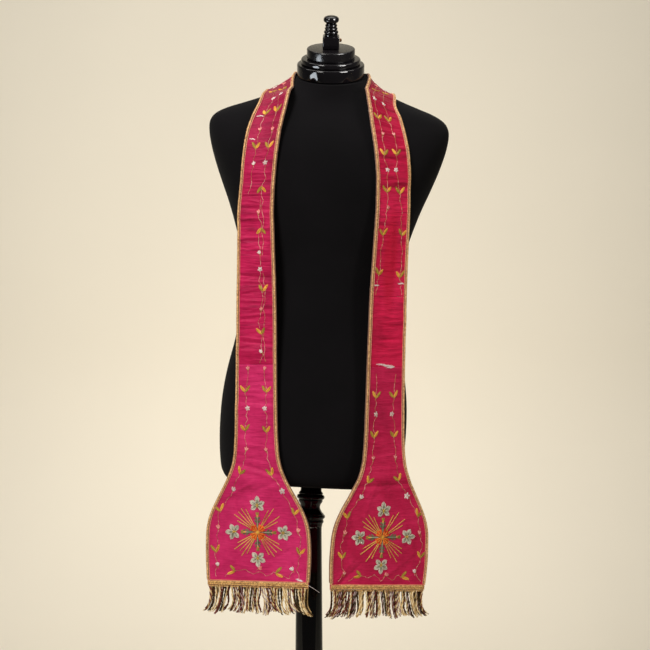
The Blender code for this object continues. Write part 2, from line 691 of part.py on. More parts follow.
def post(collection, cutters, finish):
    """The plain post. Its top is cut to the lean of the collar that seats on it."""
    seat = TORSO_FRAME @ Matrix.Translation((0, 0, -COLLAR_PLUG - COLLAR_LENGTH - 2 * GAP))
    top = seat.translation.z + 0.006
    profile = [(0, top), (POST_TOP_RADIUS, top), (POST_TOP_RADIUS, top - 0.010)]
    profile += [(POST_RADIUS, top - 0.230), (POST_RADIUS, FOOT_HEIGHT + 0.070)]
    profile += bead(0.0300, 0.0060, FOOT_HEIGHT + 0.048, FOOT_HEIGHT + 0.066)
    profile += [(0.0270, FOOT_HEIGHT + 0.040), (0.0300, FOOT_HEIGHT + 0.022)]
    profile += [(0.0380, FOOT_HEIGHT + 0.008), (0.0400, FOOT_HEIGHT + GAP), (0, FOOT_HEIGHT + GAP)]
    made = turned("post", profile, collection, finish)
    shape = bmesh.new()
    bmesh.ops.create_cube(shape, size=0.2)
    bmesh.ops.translate(shape, vec=(0, 0, 0.1), verts=shape.verts)
    mesh = bpy.data.meshes.new("seat_cutter")
    shape.to_mesh(mesh)
    shape.free()
    cutter = bpy.data.objects.new("seat_cutter", mesh)
    cutters.objects.link(cutter)
    cutter.matrix_world = seat
    cutter.hide_render = True
    cutter.display_type = "WIRE"
    cut = made.modifiers.new("seat", "BOOLEAN")
    cut.operation = "DIFFERENCE"
    cut.object = cutter
    return made


def foot(collection, finish):
    """The plain round foot, its underside flat on the floor."""
    rim = [(FOOT_RADIUS - 0.004, 0.016), (FOOT_RADIUS, 0.012), (FOOT_RADIUS, 0.002), (FOOT_RADIUS - 0.002, 0)]
    profile = [(0, FOOT_HEIGHT), (0.060, FOOT_HEIGHT), (0.070, FOOT_HEIGHT - 0.003)]
    profile += [(0.120, 0.0235), (0.165, 0.0185)] + rim + [(0, 0)]
    return turned("foot", profile, collection, finish, 40)


def build():
    clear_scene()
    parts = new_collection("stole_on_dress_form")
    cutters = new_collection("cutters")
    silk = material("silk", CRIMSON, 0.45)
    braid = material("braid", GOLD, 0.5)
    threads = material("fringe_threads", FRINGE_COLOUR, 0.55)
    jersey = material("jersey", BLACK_JERSEY, 0.9)
    lacquer = material("lacquer", BLACK_LACQUER, 0.12)
    brass = material("brass", BRASS, 0.35, 1.0)

    torso = add_object("torso", torso_mesh("torso", RINGS_PER_SECTION, TORSO_POINTS), parts, jersey)
    torso.matrix_world = TORSO_FRAME
    neck_cap(parts, lacquer)
    finial(parts, lacquer, brass)
    post_collar(parts, lacquer)
    post(parts, cutters, lacquer)
    foot(parts, lacquer)

    half_gap = GAP / 2
    left_low, left_high = LEFT_SEAMS
    right_low, right_high = (LENGTH - distance for distance in RIGHT_SEAMS)
    silk_piece("left_end", 0, left_low - half_gap, END_COLUMNS, parts, silk)
    silk_piece("left_middle", left_low + half_gap, left_high - half_gap, BAND_COLUMNS, parts, silk)
    silk_piece("left_upper", left_high + half_gap, NAPE - half_gap, BAND_COLUMNS, parts, silk)
    silk_piece("right_upper", NAPE + half_gap, right_high - half_gap, BAND_COLUMNS, parts, silk)
    silk_piece("right_middle", right_high + half_gap, right_low - half_gap, BAND_COLUMNS, parts, silk)
    silk_piece("right_end", right_low + half_gap, LENGTH, END_COLUMNS, parts, silk)
    above_hem = HEM_BRAID_HEIGHT + GAP
    for side, edge in ((-1, "inner"), (1, "outer")):
        edge_braid(f"left_{edge}_braid", above_hem, NAPE - half_gap, side, parts, braid)
        edge_braid(f"right_{edge}_braid", NAPE + half_gap, LENGTH - above_hem, side, parts, braid)
    hem_braid("left_hem_braid", 0.0, 1, parts, braid)
    hem_braid("right_hem_braid", LENGTH, -1, parts, braid)
    fringe("left_fringe", 0.0, -1, parts, threads)
    fringe("right_fringe", LENGTH, 1, parts, threads)


build()
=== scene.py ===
"""Looks of the clerical stole on its dress form: silk, embroidery, braid, fringe, jersey and lacquer.

Metres, +Z up, in the part's frame. s runs along the stole from the left hem over the nape to the
right hem, and v across it, negative at the neck edge. -Y is the front.
"""

import math
import random

import bmesh
import bpy
import numpy as np
from mathutils import Matrix, Vector
from mathutils.bvhtree import BVHTree


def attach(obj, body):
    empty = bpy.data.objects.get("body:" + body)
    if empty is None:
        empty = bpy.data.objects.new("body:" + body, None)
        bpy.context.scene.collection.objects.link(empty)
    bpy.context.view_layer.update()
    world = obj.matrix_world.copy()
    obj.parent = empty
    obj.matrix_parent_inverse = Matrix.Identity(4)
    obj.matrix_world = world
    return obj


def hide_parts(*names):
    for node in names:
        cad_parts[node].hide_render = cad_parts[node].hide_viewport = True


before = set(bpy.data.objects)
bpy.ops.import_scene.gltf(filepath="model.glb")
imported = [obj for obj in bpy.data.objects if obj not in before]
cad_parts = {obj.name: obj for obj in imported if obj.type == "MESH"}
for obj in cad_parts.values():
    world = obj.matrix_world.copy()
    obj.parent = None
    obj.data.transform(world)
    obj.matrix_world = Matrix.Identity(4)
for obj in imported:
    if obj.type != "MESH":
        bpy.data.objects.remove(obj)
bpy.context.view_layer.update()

# Sizes of the stand and the dress form, as the part has them
GAP = 0.0003
SEAT_HEIGHT = 0.6785
SEAT_ACROSS = 0.0018
TORSO_LEAN = math.radians(3.1)
NECK_TILT = 22.5
NECK_LEVEL = 0.11
NECK_TOP_HEIGHT = 0.7135
NECK_TOP_DEPTH = 0.002
CAP_ACROSS = -0.0025
COLLAR_ACROSS = 0.0025
COLLAR_PLUG = 0.0085
COLLAR_LENGTH = 0.0660
POST_TOP_RADIUS = 0.0223
POST_RADIUS = 0.0240
FOOT_RADIUS = 0.190
FOOT_HEIGHT = 0.034
CAP_RADIUS = 0.059
CAP_HEIGHT = 0.0495
FINIAL_BLOCK = 0.0288
FINIAL_BLOCK_HEIGHT = 0.0215
KNOB_HEIGHT = 0.0350

# Sizes of the stole
CLOTH = 0.002
CLEAR_OF_TORSO = 0.0014
BRAID_OVERHANG = 0.0006
HEM_BRAID_HEIGHT = 0.0085
RIBBON_THICKNESS = 0.0005
PLAIT_WIDTH = 0.0035
PLAIT_RISE = 0.00095
PLAIT_PITCH = 0.0076
PLAIT_STEP = 0.0011
STITCH_RADIUS = 0.00032
CORD_RADIUS = 0.00062
CORD_STITCH_PITCH = 0.0042
SEAM_GAP = 0.00006
CORD_INSET = 0.0043
FRINGE_HEADING = 0.0040
FRINGE_DROP = 0.0430
FRINGE_CORDS = 58
FRINGE_LOOPS = 46
LOOP_RADIUS = 0.00066
FRINGE_STEPS = 30
KICK_FROM = 0.62
PLY_RADIUS = 0.00093
PLY_OPEN = 0.00082
PLY_TWIST = 0.0120
NECK_SHIFT = -0.007
LEFT_SEAMS = (0.375, 0.660)
RIGHT_SEAMS = (0.378, 0.497)

# Fineness of the skin, the support grid and the silk
LINE_READINGS = 2400
NEAR = 0.003
SKIN_RINGS = 5
SKIN_POINTS = 144
SUPPORT_STEP = 0.004
SUPPORT_MARGIN = 0.060
SUPPORT_REACH = 0.096
SUPPORT_COLUMNS = 49
SUPPORT_SMOOTHING = 30
LEAST_FACING = 0.4
END_STEPS = (0.0019, 0.0019)
BAND_STEPS = (0.0011, 0.0030)
CREASE_STEP = 0.0006
CREASE_COLUMN = 0.001
CREASE_DEPTH = {"left": 1.6, "right": 1.35}
SEAM_DEPTH = 0.00022
SEAM_SPREAD = 0.0016

# Torso sections from the underside up, in the torso's own upright frame.
# Columns: height, half width, front depth, back depth, squareness, forward tilt in degrees.
TORSO_SECTIONS = [
    (0.0000, 0.1390, 0.0900, 0.0880, 2.3, 0.0),
    (0.0040, 0.1460, 0.0965, 0.0945, 2.3, 0.0),
    (0.0120, 0.1520, 0.1015, 0.1000, 2.3, 0.0),
    (0.0255, 0.1572, 0.1050, 0.1045, 2.3, 0.0),
    (0.0615, 0.1615, 0.1080, 0.1090, 2.3, 0.0),
    (0.1065, 0.1628, 0.1095, 0.1120, 2.3, 0.0),
    (0.1515, 0.1608, 0.1090, 0.1110, 2.3, 0.0),
    (0.1965, 0.1545, 0.1075, 0.1040, 2.3, 0.0),
    (0.2415, 0.1450, 0.1045, 0.0940, 2.3, 0.0),
    (0.2915, 0.1368, 0.1005, 0.0860, 2.3, 0.0),
    (0.3415, 0.1345, 0.0985, 0.0830, 2.3, 0.0),
    (0.3915, 0.1400, 0.1015, 0.0860, 2.35, 0.0),
    (0.4365, 0.1520, 0.1080, 0.0920, 2.45, 0.0),
    (0.4815, 0.1670, 0.1140, 0.0990, 2.55, 0.0),
    (0.5215, 0.1830, 0.1150, 0.1030, 2.55, 0.0),
    (0.5565, 0.1960, 0.1100, 0.1040, 2.5, 0.5),
    (0.5885, 0.2055, 0.1010, 0.1030, 2.4, 1.5),
    (0.6135, 0.2095, 0.0905, 0.0985, 2.3, 3.0),
    (0.6295, 0.2075, 0.0825, 0.0935, 2.2, 4.5),
    (0.6415, 0.1985, 0.0765, 0.0885, 2.15, 6.0),
    (0.6520, 0.1800, 0.0715, 0.0840, 2.1, 7.5),
    (0.6616, 0.1540, 0.0675, 0.0795, 2.05, 9.0),
    (0.6714, 0.1270, 0.0640, 0.0750, 2.0, 11.0),
    (0.6814, 0.1030, 0.0615, 0.0705, 2.0, 13.5),
    (0.6930, 0.0810, 0.0600, 0.0665, 2.0, 17.0),
    (0.7055, 0.0680, 0.0588, 0.0630, 2.0, 20.5),
    (0.7135, 0.0612, 0.0580, 0.0605, 2.0, 22.5),
]

# Where the band's middle line rests on the neck and shoulder, in the torso's own frame,
# from the nape to each shoulder.
# Columns: across, depth, height, turn of the width in degrees, clearance of the torso.
LEFT_NECK = [
    (0.0000, 0.0850, 0.7000, 90.0, 0.0014),
    (0.0360, 0.0775, 0.7028, 70.0, 0.0014),
    (0.0660, 0.0520, 0.7056, 52.0, 0.0036),
    (0.0830, 0.0200, 0.7040, 32.0, 0.0066),
    (0.0900, -0.0180, 0.6925, 25.0, 0.0020),
]
RIGHT_NECK = [
    (0.0000, 0.0850, 0.7000, 90.0, 0.0014),
    (0.0360, 0.0775, 0.6982, 72.0, 0.0014),
    (0.0660, 0.0520, 0.6940, 54.0, 0.0016),
    (0.0825, 0.0200, 0.6893, 31.0, 0.0014),
    (0.0895, -0.0180, 0.6800, 24.0, 0.0014),
]

# Where each half hangs down the front. Columns: x, y, z, turn and droop of the width in degrees.
LEFT_STATIONS = [
    (-0.0575, -0.0560, 1.3419, 26.0, 22.0),
    (-0.0660, -0.0730, 1.3140, 24.0, 15.0),
    (-0.0735, -0.0850, 1.2872, 24.0, 9.0),
    (-0.0797, -0.0950, 1.2522, 24.0, 4.0),
    (-0.0848, -0.1000, 1.2092, 23.0, 1.0),
    (-0.0886, -0.1015, 1.1584, 21.0, 0.0),
    (-0.0887, -0.1020, 1.0991, 19.0, 0.0),
    (-0.0882, -0.1020, 1.0314, 17.0, 0.0),
    (-0.0877, -0.1020, 0.9468, 16.0, 0.0),
    (-0.0881, -0.1020, 0.8622, 16.0, 0.0),
    (-0.0882, -0.1015, 0.7775, 16.0, 0.0),
    (-0.0876, -0.1010, 0.7098, 16.0, 0.0),
    (-0.0862, -0.1005, 0.6421, 15.0, 0.0),
    (-0.0850, -0.1000, 0.5744, 15.0, 0.3),
    (-0.0854, -0.0995, 0.5135, 15.0, 0.5),
]
RIGHT_STATIONS = [
    (0.1225, -0.0560, 1.3419, 26.0, 28.0),
    (0.1290, -0.0730, 1.3140, 25.0, 18.0),
    (0.1340, -0.0850, 1.2872, 25.0, 9.0),
    (0.1397, -0.0950, 1.2522, 25.0, 4.0),
    (0.1428, -0.1000, 1.2092, 26.0, 1.0),
    (0.1430, -0.1010, 1.1584, 26.0, 0.0),
    (0.1399, -0.1010, 1.0991, 26.0, 0.0),
    (0.1360, -0.1005, 1.0314, 26.0, 0.0),
    (0.1327, -0.1000, 0.9468, 26.0, 0.0),
    (0.1303, -0.0990, 0.8622, 26.0, 0.0),
    (0.1283, -0.0985, 0.7775, 26.0, 0.0),
    (0.1271, -0.0980, 0.7098, 25.0, 0.0),
    (0.1237, -0.0975, 0.6421, 25.0, 1.0),
    (0.1205, -0.0970, 0.5744, 25.0, 2.5),
    (0.1164, -0.0965, 0.5067, 25.0, 3.6),
]

# The flat cut of one half. Columns: distance from the hem, half width.
CUT = [
    (0.000, 0.0890), (0.025, 0.0908), (0.050, 0.0918), (0.075, 0.0915), (0.095, 0.0900),
    (0.112, 0.0862), (0.130, 0.0790), (0.150, 0.0685), (0.168, 0.0585), (0.185, 0.0497),
    (0.202, 0.0434), (0.220, 0.0397), (0.240, 0.0380), (0.300, 0.0362), (0.390, 0.0350),
    (0.480, 0.0342), (0.570, 0.0326), (0.650, 0.0315), (1.200, 0.0315),
]

# The largest soft folds, as the solids have them.
# Columns: half, distance from the hem, across, half length, half width, height, slant in degrees.
FOLDS = [
    ("left", 0.176, 0.006, 0.050, 0.012, 0.0030, 12.0),
    ("left", 0.150, 0.030, 0.045, 0.013, -0.0025, -25.0),
    ("left", 0.300, 0.000, 0.034, 0.012, 0.0020, 3.0),
    ("left", 0.395, 0.002, 0.036, 0.013, 0.0024, 2.0),
    ("left", 0.520, -0.004, 0.032, 0.013, -0.0020, -4.0),
    ("left", 0.628, 0.003, 0.033, 0.012, 0.0022, 3.0),
    ("right", 0.190, 0.000, 0.045, 0.011, 0.0028, 2.0),
    ("right", 0.026, -0.062, 0.030, 0.011, -0.0030, 40.0),
    ("right", 0.052, 0.066, 0.036, 0.013, -0.0022, -50.0),
    ("right", 0.455, 0.002, 0.034, 0.012, 0.0018, -5.0),
    ("right", 0.700, 0.000, 0.032, 0.012, 0.0022, 2.0),
]

# Finer creases of each half, placed after the photograph, in millimetres.
# Columns: distance from the hem, across, half length, half width, height, slant in degrees.
CREASES = {
    "left": [
        (742, 0, 20, 2.6, -0.75, 6), (752, 4, 18, 2.2, 0.50, 4), (808, -4, 22, 2.6, -0.70, -8),
        (790, 8, 16, 2.4, 0.55, -6), (826, 3, 20, 2.4, 0.50, 5), (730, -6, 16, 2.0, 0.45, -4),
        (700, 4, 24, 2.4, 0.50, 3), (684, 0, 26, 2.6, -0.80, 2), (676, 6, 22, 2.2, 0.60, 3),
        (645, 2, 28, 2.8, 0.70, 4), (638, -4, 24, 2.2, -0.65, 4), (622, 8, 20, 2.4, 0.65, -3),
        (604, -6, 20, 2.4, 0.40, -5), (589, 10, 20, 2.0, 0.80, -2), (584, 6, 24, 2.2, -0.70, 0),
        (561, -4, 24, 2.2, -0.45, 3), (524, 0, 30, 2.4, -0.75, 4), (515, 4, 26, 2.2, 0.80, 5),
        (502, -6, 22, 2.2, 0.50, -5), (496, 10, 18, 2.0, -0.60, -4), (482, 2, 26, 2.2, 0.75, 2),
        (470, 12, 16, 2.2, 0.45, 8), (459, 2, 24, 2.4, 0.75, -6), (453, 8, 20, 2.0, -0.65, -6),
        (441, -8, 20, 2.2, 0.50, -3), (418, 2, 24, 2.4, 0.80, 5), (411, -2, 26, 2.2, -0.75, 4),
        (398, 8, 18, 2.0, 0.45, -4), (386, 0, 28, 2.4, -0.60, 1), (362, 4, 30, 2.6, 0.45, 2),
        (345, -8, 22, 2.4, -0.50, -5), (322, 0, 32, 2.8, 0.55, 4), (311, 0, 34, 2.6, -0.85, 2),
        (286, -6, 24, 3.0, 0.45, 8), (258, 4, 30, 3.0, -0.50, -4), (236, -4, 34, 3.4, 0.55, 6),
        (216, 6, 30, 3.0, -0.60, 10), (198, -6, 40, 3.4, -0.95, 12), (187, -14, 34, 3.0, 0.70, 16),
        (172, -22, 26, 3.2, -0.80, -24), (163, 30, 28, 3.4, 0.80, -28), (156, 12, 8, 2.6, -0.70, 80),
        (142, -34, 24, 3.2, 0.65, 74), (122, 32, 34, 3.6, -0.60, 62), (100, -62, 28, 3.4, 0.60, 84),
        (86, 64, 26, 3.2, 0.55, 96), (66, 22, 26, 4.0, 0.45, 52), (52, -34, 34, 4.0, -0.55, -24),
        (38, 36, 24, 3.2, 0.60, 24), (17, -58, 18, 2.6, -0.90, -22), (14, 6, 34, 2.6, 0.45, 3),
    ],
    "right": [
        (866, 2, 18, 2.2, -0.60, -6), (826, 0, 20, 2.2, 0.45, -8), (788, 0, 26, 2.4, -0.80, 2),
        (780, -4, 22, 2.2, 0.60, 3), (760, 0, 26, 2.2, -0.60, -5), (751, 6, 20, 2.0, 0.50, -6),
        (729, -2, 26, 2.2, -0.70, -3), (720, 2, 20, 2.2, 0.50, 4), (690, 0, 24, 2.2, 0.40, 3),
        (681, -2, 28, 2.4, -0.75, 2), (664, 6, 20, 2.6, 0.40, -4), (630, -4, 5, 3.4, 0.50, 88),
        (588, 0, 60, 3.4, 0.45, 90), (560, 9, 40, 3.0, -0.40, 92), (520, -14, 18, 2.2, 0.40, 6),
        (462, 4, 26, 2.4, 0.40, -4), (447, 2, 26, 2.2, -0.65, -14), (424, 4, 16, 2.2, -0.70, 6),
        (418, 0, 22, 2.2, 0.40, 4), (398, -6, 22, 2.4, 0.35, -3), (352, 6, 26, 2.6, 0.40, 3),
        (312, 0, 34, 2.8, -0.45, 2), (268, -6, 30, 3.0, 0.45, -4), (232, 2, 34, 3.2, -0.50, 3),
        (205, 0, 40, 3.2, 0.60, 2), (177, 0, 46, 2.8, -1.10, 1), (168, 2, 44, 3.2, 0.55, 2),
        (148, -24, 34, 3.6, 0.45, 70), (126, 38, 36, 3.8, -0.45, -66), (92, -60, 32, 3.6, -0.55, 84),
        (70, 62, 30, 3.4, 0.50, -82), (58, -20, 34, 4.0, 0.45, -36), (42, 40, 34, 3.6, 0.60, 36),
        (30, -66, 24, 2.8, 0.80, 52), (22, -58, 26, 2.6, -1.20, 44), (15, 10, 30, 2.8, 0.40, 2),
    ],
}

TORSO_FRAME = Matrix.Translation((SEAT_ACROSS, 0, SEAT_HEIGHT)) @ Matrix.Rotation(TORSO_LEAN, 4, "Y")


# The cloth's form


def smooth(knots, rows, at):
    """The smooth curve through the rows, which stand at the knots, read at other places."""
    knots = np.asarray(knots, float)
    rows = np.asarray(rows, float)
    at = np.clip(np.asarray(at, float), knots[0], knots[-1])
    slopes = np.gradient(rows, knots, axis=0)
    i = np.clip(np.searchsorted(knots, at, side="right") - 1, 0, len(knots) - 2)
    span = (knots[i + 1] - knots[i])[:, None]
    t = (at - knots[i])[:, None] / span
    start = (2 * t**3 - 3 * t**2 + 1) * rows[i] + (t**3 - 2 * t**2 + t) * span * slopes[i]
    end = (3 * t**2 - 2 * t**3) * rows[i + 1] + (t**3 - t**2) * span * slopes[i + 1]
    return start + end


def section_ring(section, points):
    """One closed ring of the torso, in its own frame: a rounded section with unlike front and back."""
    height, half_width_here, front, back, square, tilt = section
    forward = math.tan(math.radians(tilt))
    level = math.tan(math.radians(tilt * NECK_LEVEL))
    ring = []
    for k in range(points):
        angle = 2 * math.pi * k / points
        c, s = math.cos(angle), math.sin(angle)
        across = half_width_here * math.copysign(abs(c) ** (2 / square), c)
        reach = back if s > 0 else front
        depth = reach * math.copysign(abs(s) ** (2 / square), s)
        ring.append((across, depth, height + (depth - NECK_TOP_DEPTH) * forward + across * level))
    return ring


def torso_mesh(name, rings_per_section, points):
    """The loft through the torso's sections in the world frame, closed flat at both ends."""
    count = len(TORSO_SECTIONS)
    places = np.linspace(0, count - 1, (count - 1) * rings_per_section + 1)
    sections = smooth(np.arange(count), TORSO_SECTIONS, places)
    vertices = [p for section in sections for p in section_ring(section, points)]
    faces = []
    for i in range(len(sections) - 1):
        for k in range(points):
            n = (k + 1) % points
            faces.append((i * points + k, i * points + n, (i + 1) * points + n, (i + 1) * points + k))
    last = (len(sections) - 1) * points
    faces.append(tuple(reversed(range(points))))
    faces.append(tuple(range(last, last + points)))
    mesh = bpy.data.meshes.new(name)
    mesh.from_pydata(vertices, [], faces)
    mesh.transform(TORSO_FRAME)
    mesh.shade_smooth()
    mesh.set_sharp_from_angle(angle=math.radians(50))
    return mesh


TORSO_SHAPE = torso_mesh("torso_jersey", SKIN_RINGS, SKIN_POINTS)
SKIN = BVHTree.FromPolygons(
    [v.co.copy() for v in TORSO_SHAPE.vertices], [tuple(f.vertices) for f in TORSO_SHAPE.polygons]
)


def side_stations(neck, front, side):
    """One half's stations from the nape to the hem, in the world frame, as x, y, z, turn, droop."""
    rows = []
    for across, depth, height, turn, clear in neck:
        wanted = TORSO_FRAME @ Vector((side * across + NECK_SHIFT, depth, height))
        place, normal, _, _ = SKIN.find_nearest(wanted)
        a = math.radians(turn if side > 0 else 180 - turn)
        level = Vector((math.cos(a), math.sin(a), 0))
        width = (level - level.dot(normal) * normal).normalized()
        turned_by = math.degrees(math.atan2(width.y, width.x))
        droop = math.degrees(math.asin(-width.z))
        rows.append((*(place + normal * clear), turned_by, droop))
    rows += [(x, y, z, turn if side > 0 else 180 - turn, droop) for x, y, z, turn, droop in front]
    return rows


def middle_line():
    """The stole's middle line from the left hem to the right one, and where it passes the nape."""
    left = side_stations(LEFT_NECK, LEFT_STATIONS, -1)
    right = side_stations(RIGHT_NECK, RIGHT_STATIONS, 1)
    stations = np.array(left[::-1] + right[1:])
    chord = np.linalg.norm(np.diff(stations[:, :3], axis=0), axis=1)
    knots = np.concatenate([[0], np.cumsum(chord)])
    readings = np.linspace(0, knots[-1], LINE_READINGS)
    close = smooth(knots, stations, readings)
    step = np.linalg.norm(np.diff(close[:, :3], axis=0), axis=1)
    along = np.concatenate([[0], np.cumsum(step)])
    nape = float(np.interp(knots[len(left) - 1], readings, along))
    return along, close, nape


ALONG, LINE, NAPE = middle_line()
LENGTH = float(ALONG[-1])


def read_line(s):
    """Middle point and width direction at distances s from the left hem. Past a hem it runs on straight."""
    inside = np.clip(s, 0, LENGTH)
    columns = np.stack([np.interp(inside, ALONG, LINE[:, k]) for k in range(5)], axis=-1)
    centre = columns[..., :3]
    past = (s - inside)[..., None]
    start_run = (LINE[1, :3] - LINE[0, :3]) / (ALONG[1] - ALONG[0])
    end_run = (LINE[-1, :3] - LINE[-2, :3]) / (ALONG[-1] - ALONG[-2])
    centre = centre + np.where(past < 0, past * start_run, past * end_run)
    turn, droop = np.radians(columns[..., 3]), np.radians(columns[..., 4])
    width = np.stack(
        [np.cos(turn) * np.cos(droop), np.sin(turn) * np.cos(droop), -np.sin(droop)], axis=-1
    )
    return centre, width


def unit(vectors):
    return vectors / np.linalg.norm(vectors, axis=-1, keepdims=True)


def from_hem(s):
    """Distance from the nearer hem, measured along the stole."""
    return np.minimum(s, LENGTH - s)


def half_width(s):
    cut = np.array(CUT)
    return smooth(cut[:, 0], cut[:, 1:2], np.ravel(from_hem(s))).reshape(np.shape(s))


def place_on(half, hem):
    """The distance from the left hem of a place that is so far from its own half's hem."""
    return hem if half == "left" else LENGTH - hem


def fold_height(s, v):
    """How far the soft folds lift the cloth at distance s along and v across."""
    lift = np.zeros(np.shape(s))
    for half, hem, across, half_length, half_wide, height, slant in FOLDS:
        a = math.radians(slant)
        run, rise = v - across, s - place_on(half, hem)
        length_wise = (run * math.cos(a) + rise * math.sin(a)) / half_length
        width_wise = (rise * math.cos(a) - run * math.sin(a)) / half_wide
        lift = lift + height * np.exp(-(length_wise**2) - width_wise**2)
    return lift


def plain_cloth(s, v):
    """The cloth without any support: points of its back face, and the way it faces."""
    centre, width = read_line(s)
    ahead, _ = read_line(s + NEAR)
    behind, _ = read_line(s - NEAR)
    out = unit(np.cross(ahead - behind, width))
    return centre + v[..., None] * width + fold_height(s, v)[..., None] * out, out


def support_grid():
    """How far the torso holds the cloth out, on a grid, evened out so that the cloth stays smooth."""
    s = np.arange(-SUPPORT_MARGIN, LENGTH + SUPPORT_MARGIN, SUPPORT_STEP)
    v = np.linspace(-SUPPORT_REACH, SUPPORT_REACH, SUPPORT_COLUMNS)
    edge = half_width(np.clip(s, 0, LENGTH))[:, None] + BRAID_OVERHANG
    places = np.clip(np.repeat(v[None, :], len(s), axis=0), -edge, edge)
    points, out = plain_cloth(np.repeat(s[:, None], len(v), axis=1), places)
    needed = np.zeros(places.shape)
    for index in np.ndindex(*places.shape):
        point = Vector(points[index])
        place, normal, _, _ = SKIN.find_nearest(point)
        short = CLEAR_OF_TORSO - (point - place).dot(normal)
        if short > 0:
            needed[index] = short / max(LEAST_FACING, normal.dot(Vector(out[index])))
    lift = needed.copy()
    for _ in range(SUPPORT_SMOOTHING):
        edged = np.pad(lift, 1, mode="edge")
        along = edged[:-2, 1:-1] + edged[2:, 1:-1]
        across = edged[1:-1, :-2] + edged[1:-1, 2:]
        lift = np.maximum(needed, 0.5 * lift + 0.125 * (along + across))
    return lift


SUPPORT = support_grid()


def read_grid(grid, i, j):
    """A grid read between its points, at fractional rows and columns."""
    i = np.clip(i, 0, grid.shape[0] - 1.001)
    j = np.clip(j, 0, grid.shape[1] - 1.001)
    i0, j0 = i.astype(int), j.astype(int)
    a, b = i - i0, j - j0
    low = grid[i0, j0] * (1 - b) + grid[i0, j0 + 1] * b
    high = grid[i0 + 1, j0] * (1 - b) + grid[i0 + 1, j0 + 1] * b
    return low * (1 - a) + high * a


def support(s, v):
    """The support grid read at any place on the cloth."""
    return read_grid(
        SUPPORT,
        (s + SUPPORT_MARGIN) / SUPPORT_STEP,
        (v / SUPPORT_REACH + 1) / 2 * (SUPPORT_COLUMNS - 1),
    )


def underside(s, v):
    """Points of the cloth's back face, held clear of the torso."""
    points, out = plain_cloth(s, v)
    return points + support(s, v)[..., None] * out


def scattered_creases():
    """Small creases between the main ones, as uneven as the silk's: rows like those of CREASES."""
    draw = random.Random(41)
    rows = []
    # Columns: half, from, to, how many, least and most height, length, width, slant spread
    groups = [
        ("left", 210, 375, 26, 0.15, 0.45, (8, 26), (1.6, 3.0), 8),
        ("left", 375, 700, 52, 0.20, 0.65, (6, 22), (1.2, 2.8), 15),
        ("left", 700, 1030, 46, 0.25, 0.70, (6, 22), (1.3, 2.8), 16),
        ("left", 15, 200, 40, 0.18, 0.45, (8, 30), (1.8, 4.0), 60),
        ("right", 210, 378, 20, 0.12, 0.38, (8, 26), (1.6, 3.0), 8),
        ("right", 378, 660, 36, 0.15, 0.50, (6, 22), (1.3, 2.8), 16),
        ("right", 660, 1040, 50, 0.25, 0.70, (6, 22), (1.3, 2.8), 16),
        ("right", 15, 200, 38, 0.18, 0.45, (8, 30), (1.8, 4.0), 60),
    ]
    for half, start, end, count, least, most, lengths, widths, spread in groups:
        for _ in range(count):
            hem = draw.uniform(start, end)
            reach = 0.85 * float(half_width(np.array([hem / 1000]))[0]) * 1000
            row = [half, hem, draw.uniform(-reach, reach), draw.uniform(*lengths), draw.uniform(*widths)]
            row += [draw.uniform(least, most) * draw.choice((-0.8, 1.0)), draw.gauss(0, spread)]
            rows.append(row)
    return rows


def crease_grid():
    """The height of all fine creases on a close grid over the whole stole, in metres."""
    rows = int(LENGTH / CREASE_STEP) + 2
    columns = int(2 * SUPPORT_REACH / CREASE_COLUMN) + 1
    grid = np.zeros((rows, columns))
    across = np.linspace(-SUPPORT_REACH, SUPPORT_REACH, columns)[None, :]
    placed = [(half, *row) for half, creases in CREASES.items() for row in creases]
    for half, hem, v, half_length, half_wide, height, slant in placed + scattered_creases():
        a = math.radians(slant if half == "left" else -slant)
        place = place_on(half, hem / 1000)
        reach = 2.6 * (abs(math.sin(a)) * half_length + half_wide) / 1000
        low = max(0, int((place - reach) / CREASE_STEP))
        high = min(rows, int((place + reach) / CREASE_STEP) + 2)
        rise = np.arange(low, high)[:, None] * CREASE_STEP - place
        run = across - v / 1000
        bend = 0.15 * half_wide * np.sin(run * 1000 / (0.45 * half_length) + hem) / 1000
        length_wise = (run * math.cos(a) + rise * math.sin(a)) * 1000 / half_length
        width_wise = ((rise + bend) * math.cos(a) - run * math.sin(a)) * 1000 / half_wide
        form = np.exp(-(length_wise**4) * 0.6 - np.abs(width_wise) ** 1.5)
        grid[low:high] += CREASE_DEPTH[half] * height / 1000 * form
    # The seams draw the silk in a little
    along = np.arange(rows)[:, None] * CREASE_STEP
    for place in (*LEFT_SEAMS, NAPE, *(LENGTH - seam for seam in RIGHT_SEAMS)):
        grid -= SEAM_DEPTH * np.exp(-(((along - place) / SEAM_SPREAD) ** 2))
    return grid


CREASE_GRID = crease_grid()


def crease_height(s, v):
    """The crease grid read at any place on the cloth."""
    share = (v + SUPPORT_REACH) / (2 * SUPPORT_REACH)
    return read_grid(CREASE_GRID, s / CREASE_STEP, share * (CREASE_GRID.shape[1] - 1))


def facing(s, v):
    """Points of the back face and the direction in which the cloth faces there."""
    under = underside(s, v)
    along = underside(s + NEAR, v) - underside(s - NEAR, v)
    across = underside(s, v + NEAR) - underside(s, v - NEAR)
    return under, unit(np.cross(along, across))


def face(s, v, lift=0.0):
    """Points of the creased front face, or of what lies on it, lifted by that much."""
    s, v = np.broadcast_arrays(np.asarray(s, float), np.asarray(v, float))
    under, out = facing(s, v)
    return under + out * (CLOTH + crease_height(s, v) + lift)[..., None]


# Meshes


def new_object(name, mesh, finish):
    made = bpy.data.objects.new(name, mesh)
    bpy.context.scene.collection.objects.link(made)
    mesh.materials.clear()
    mesh.materials.append(finish)
    return made


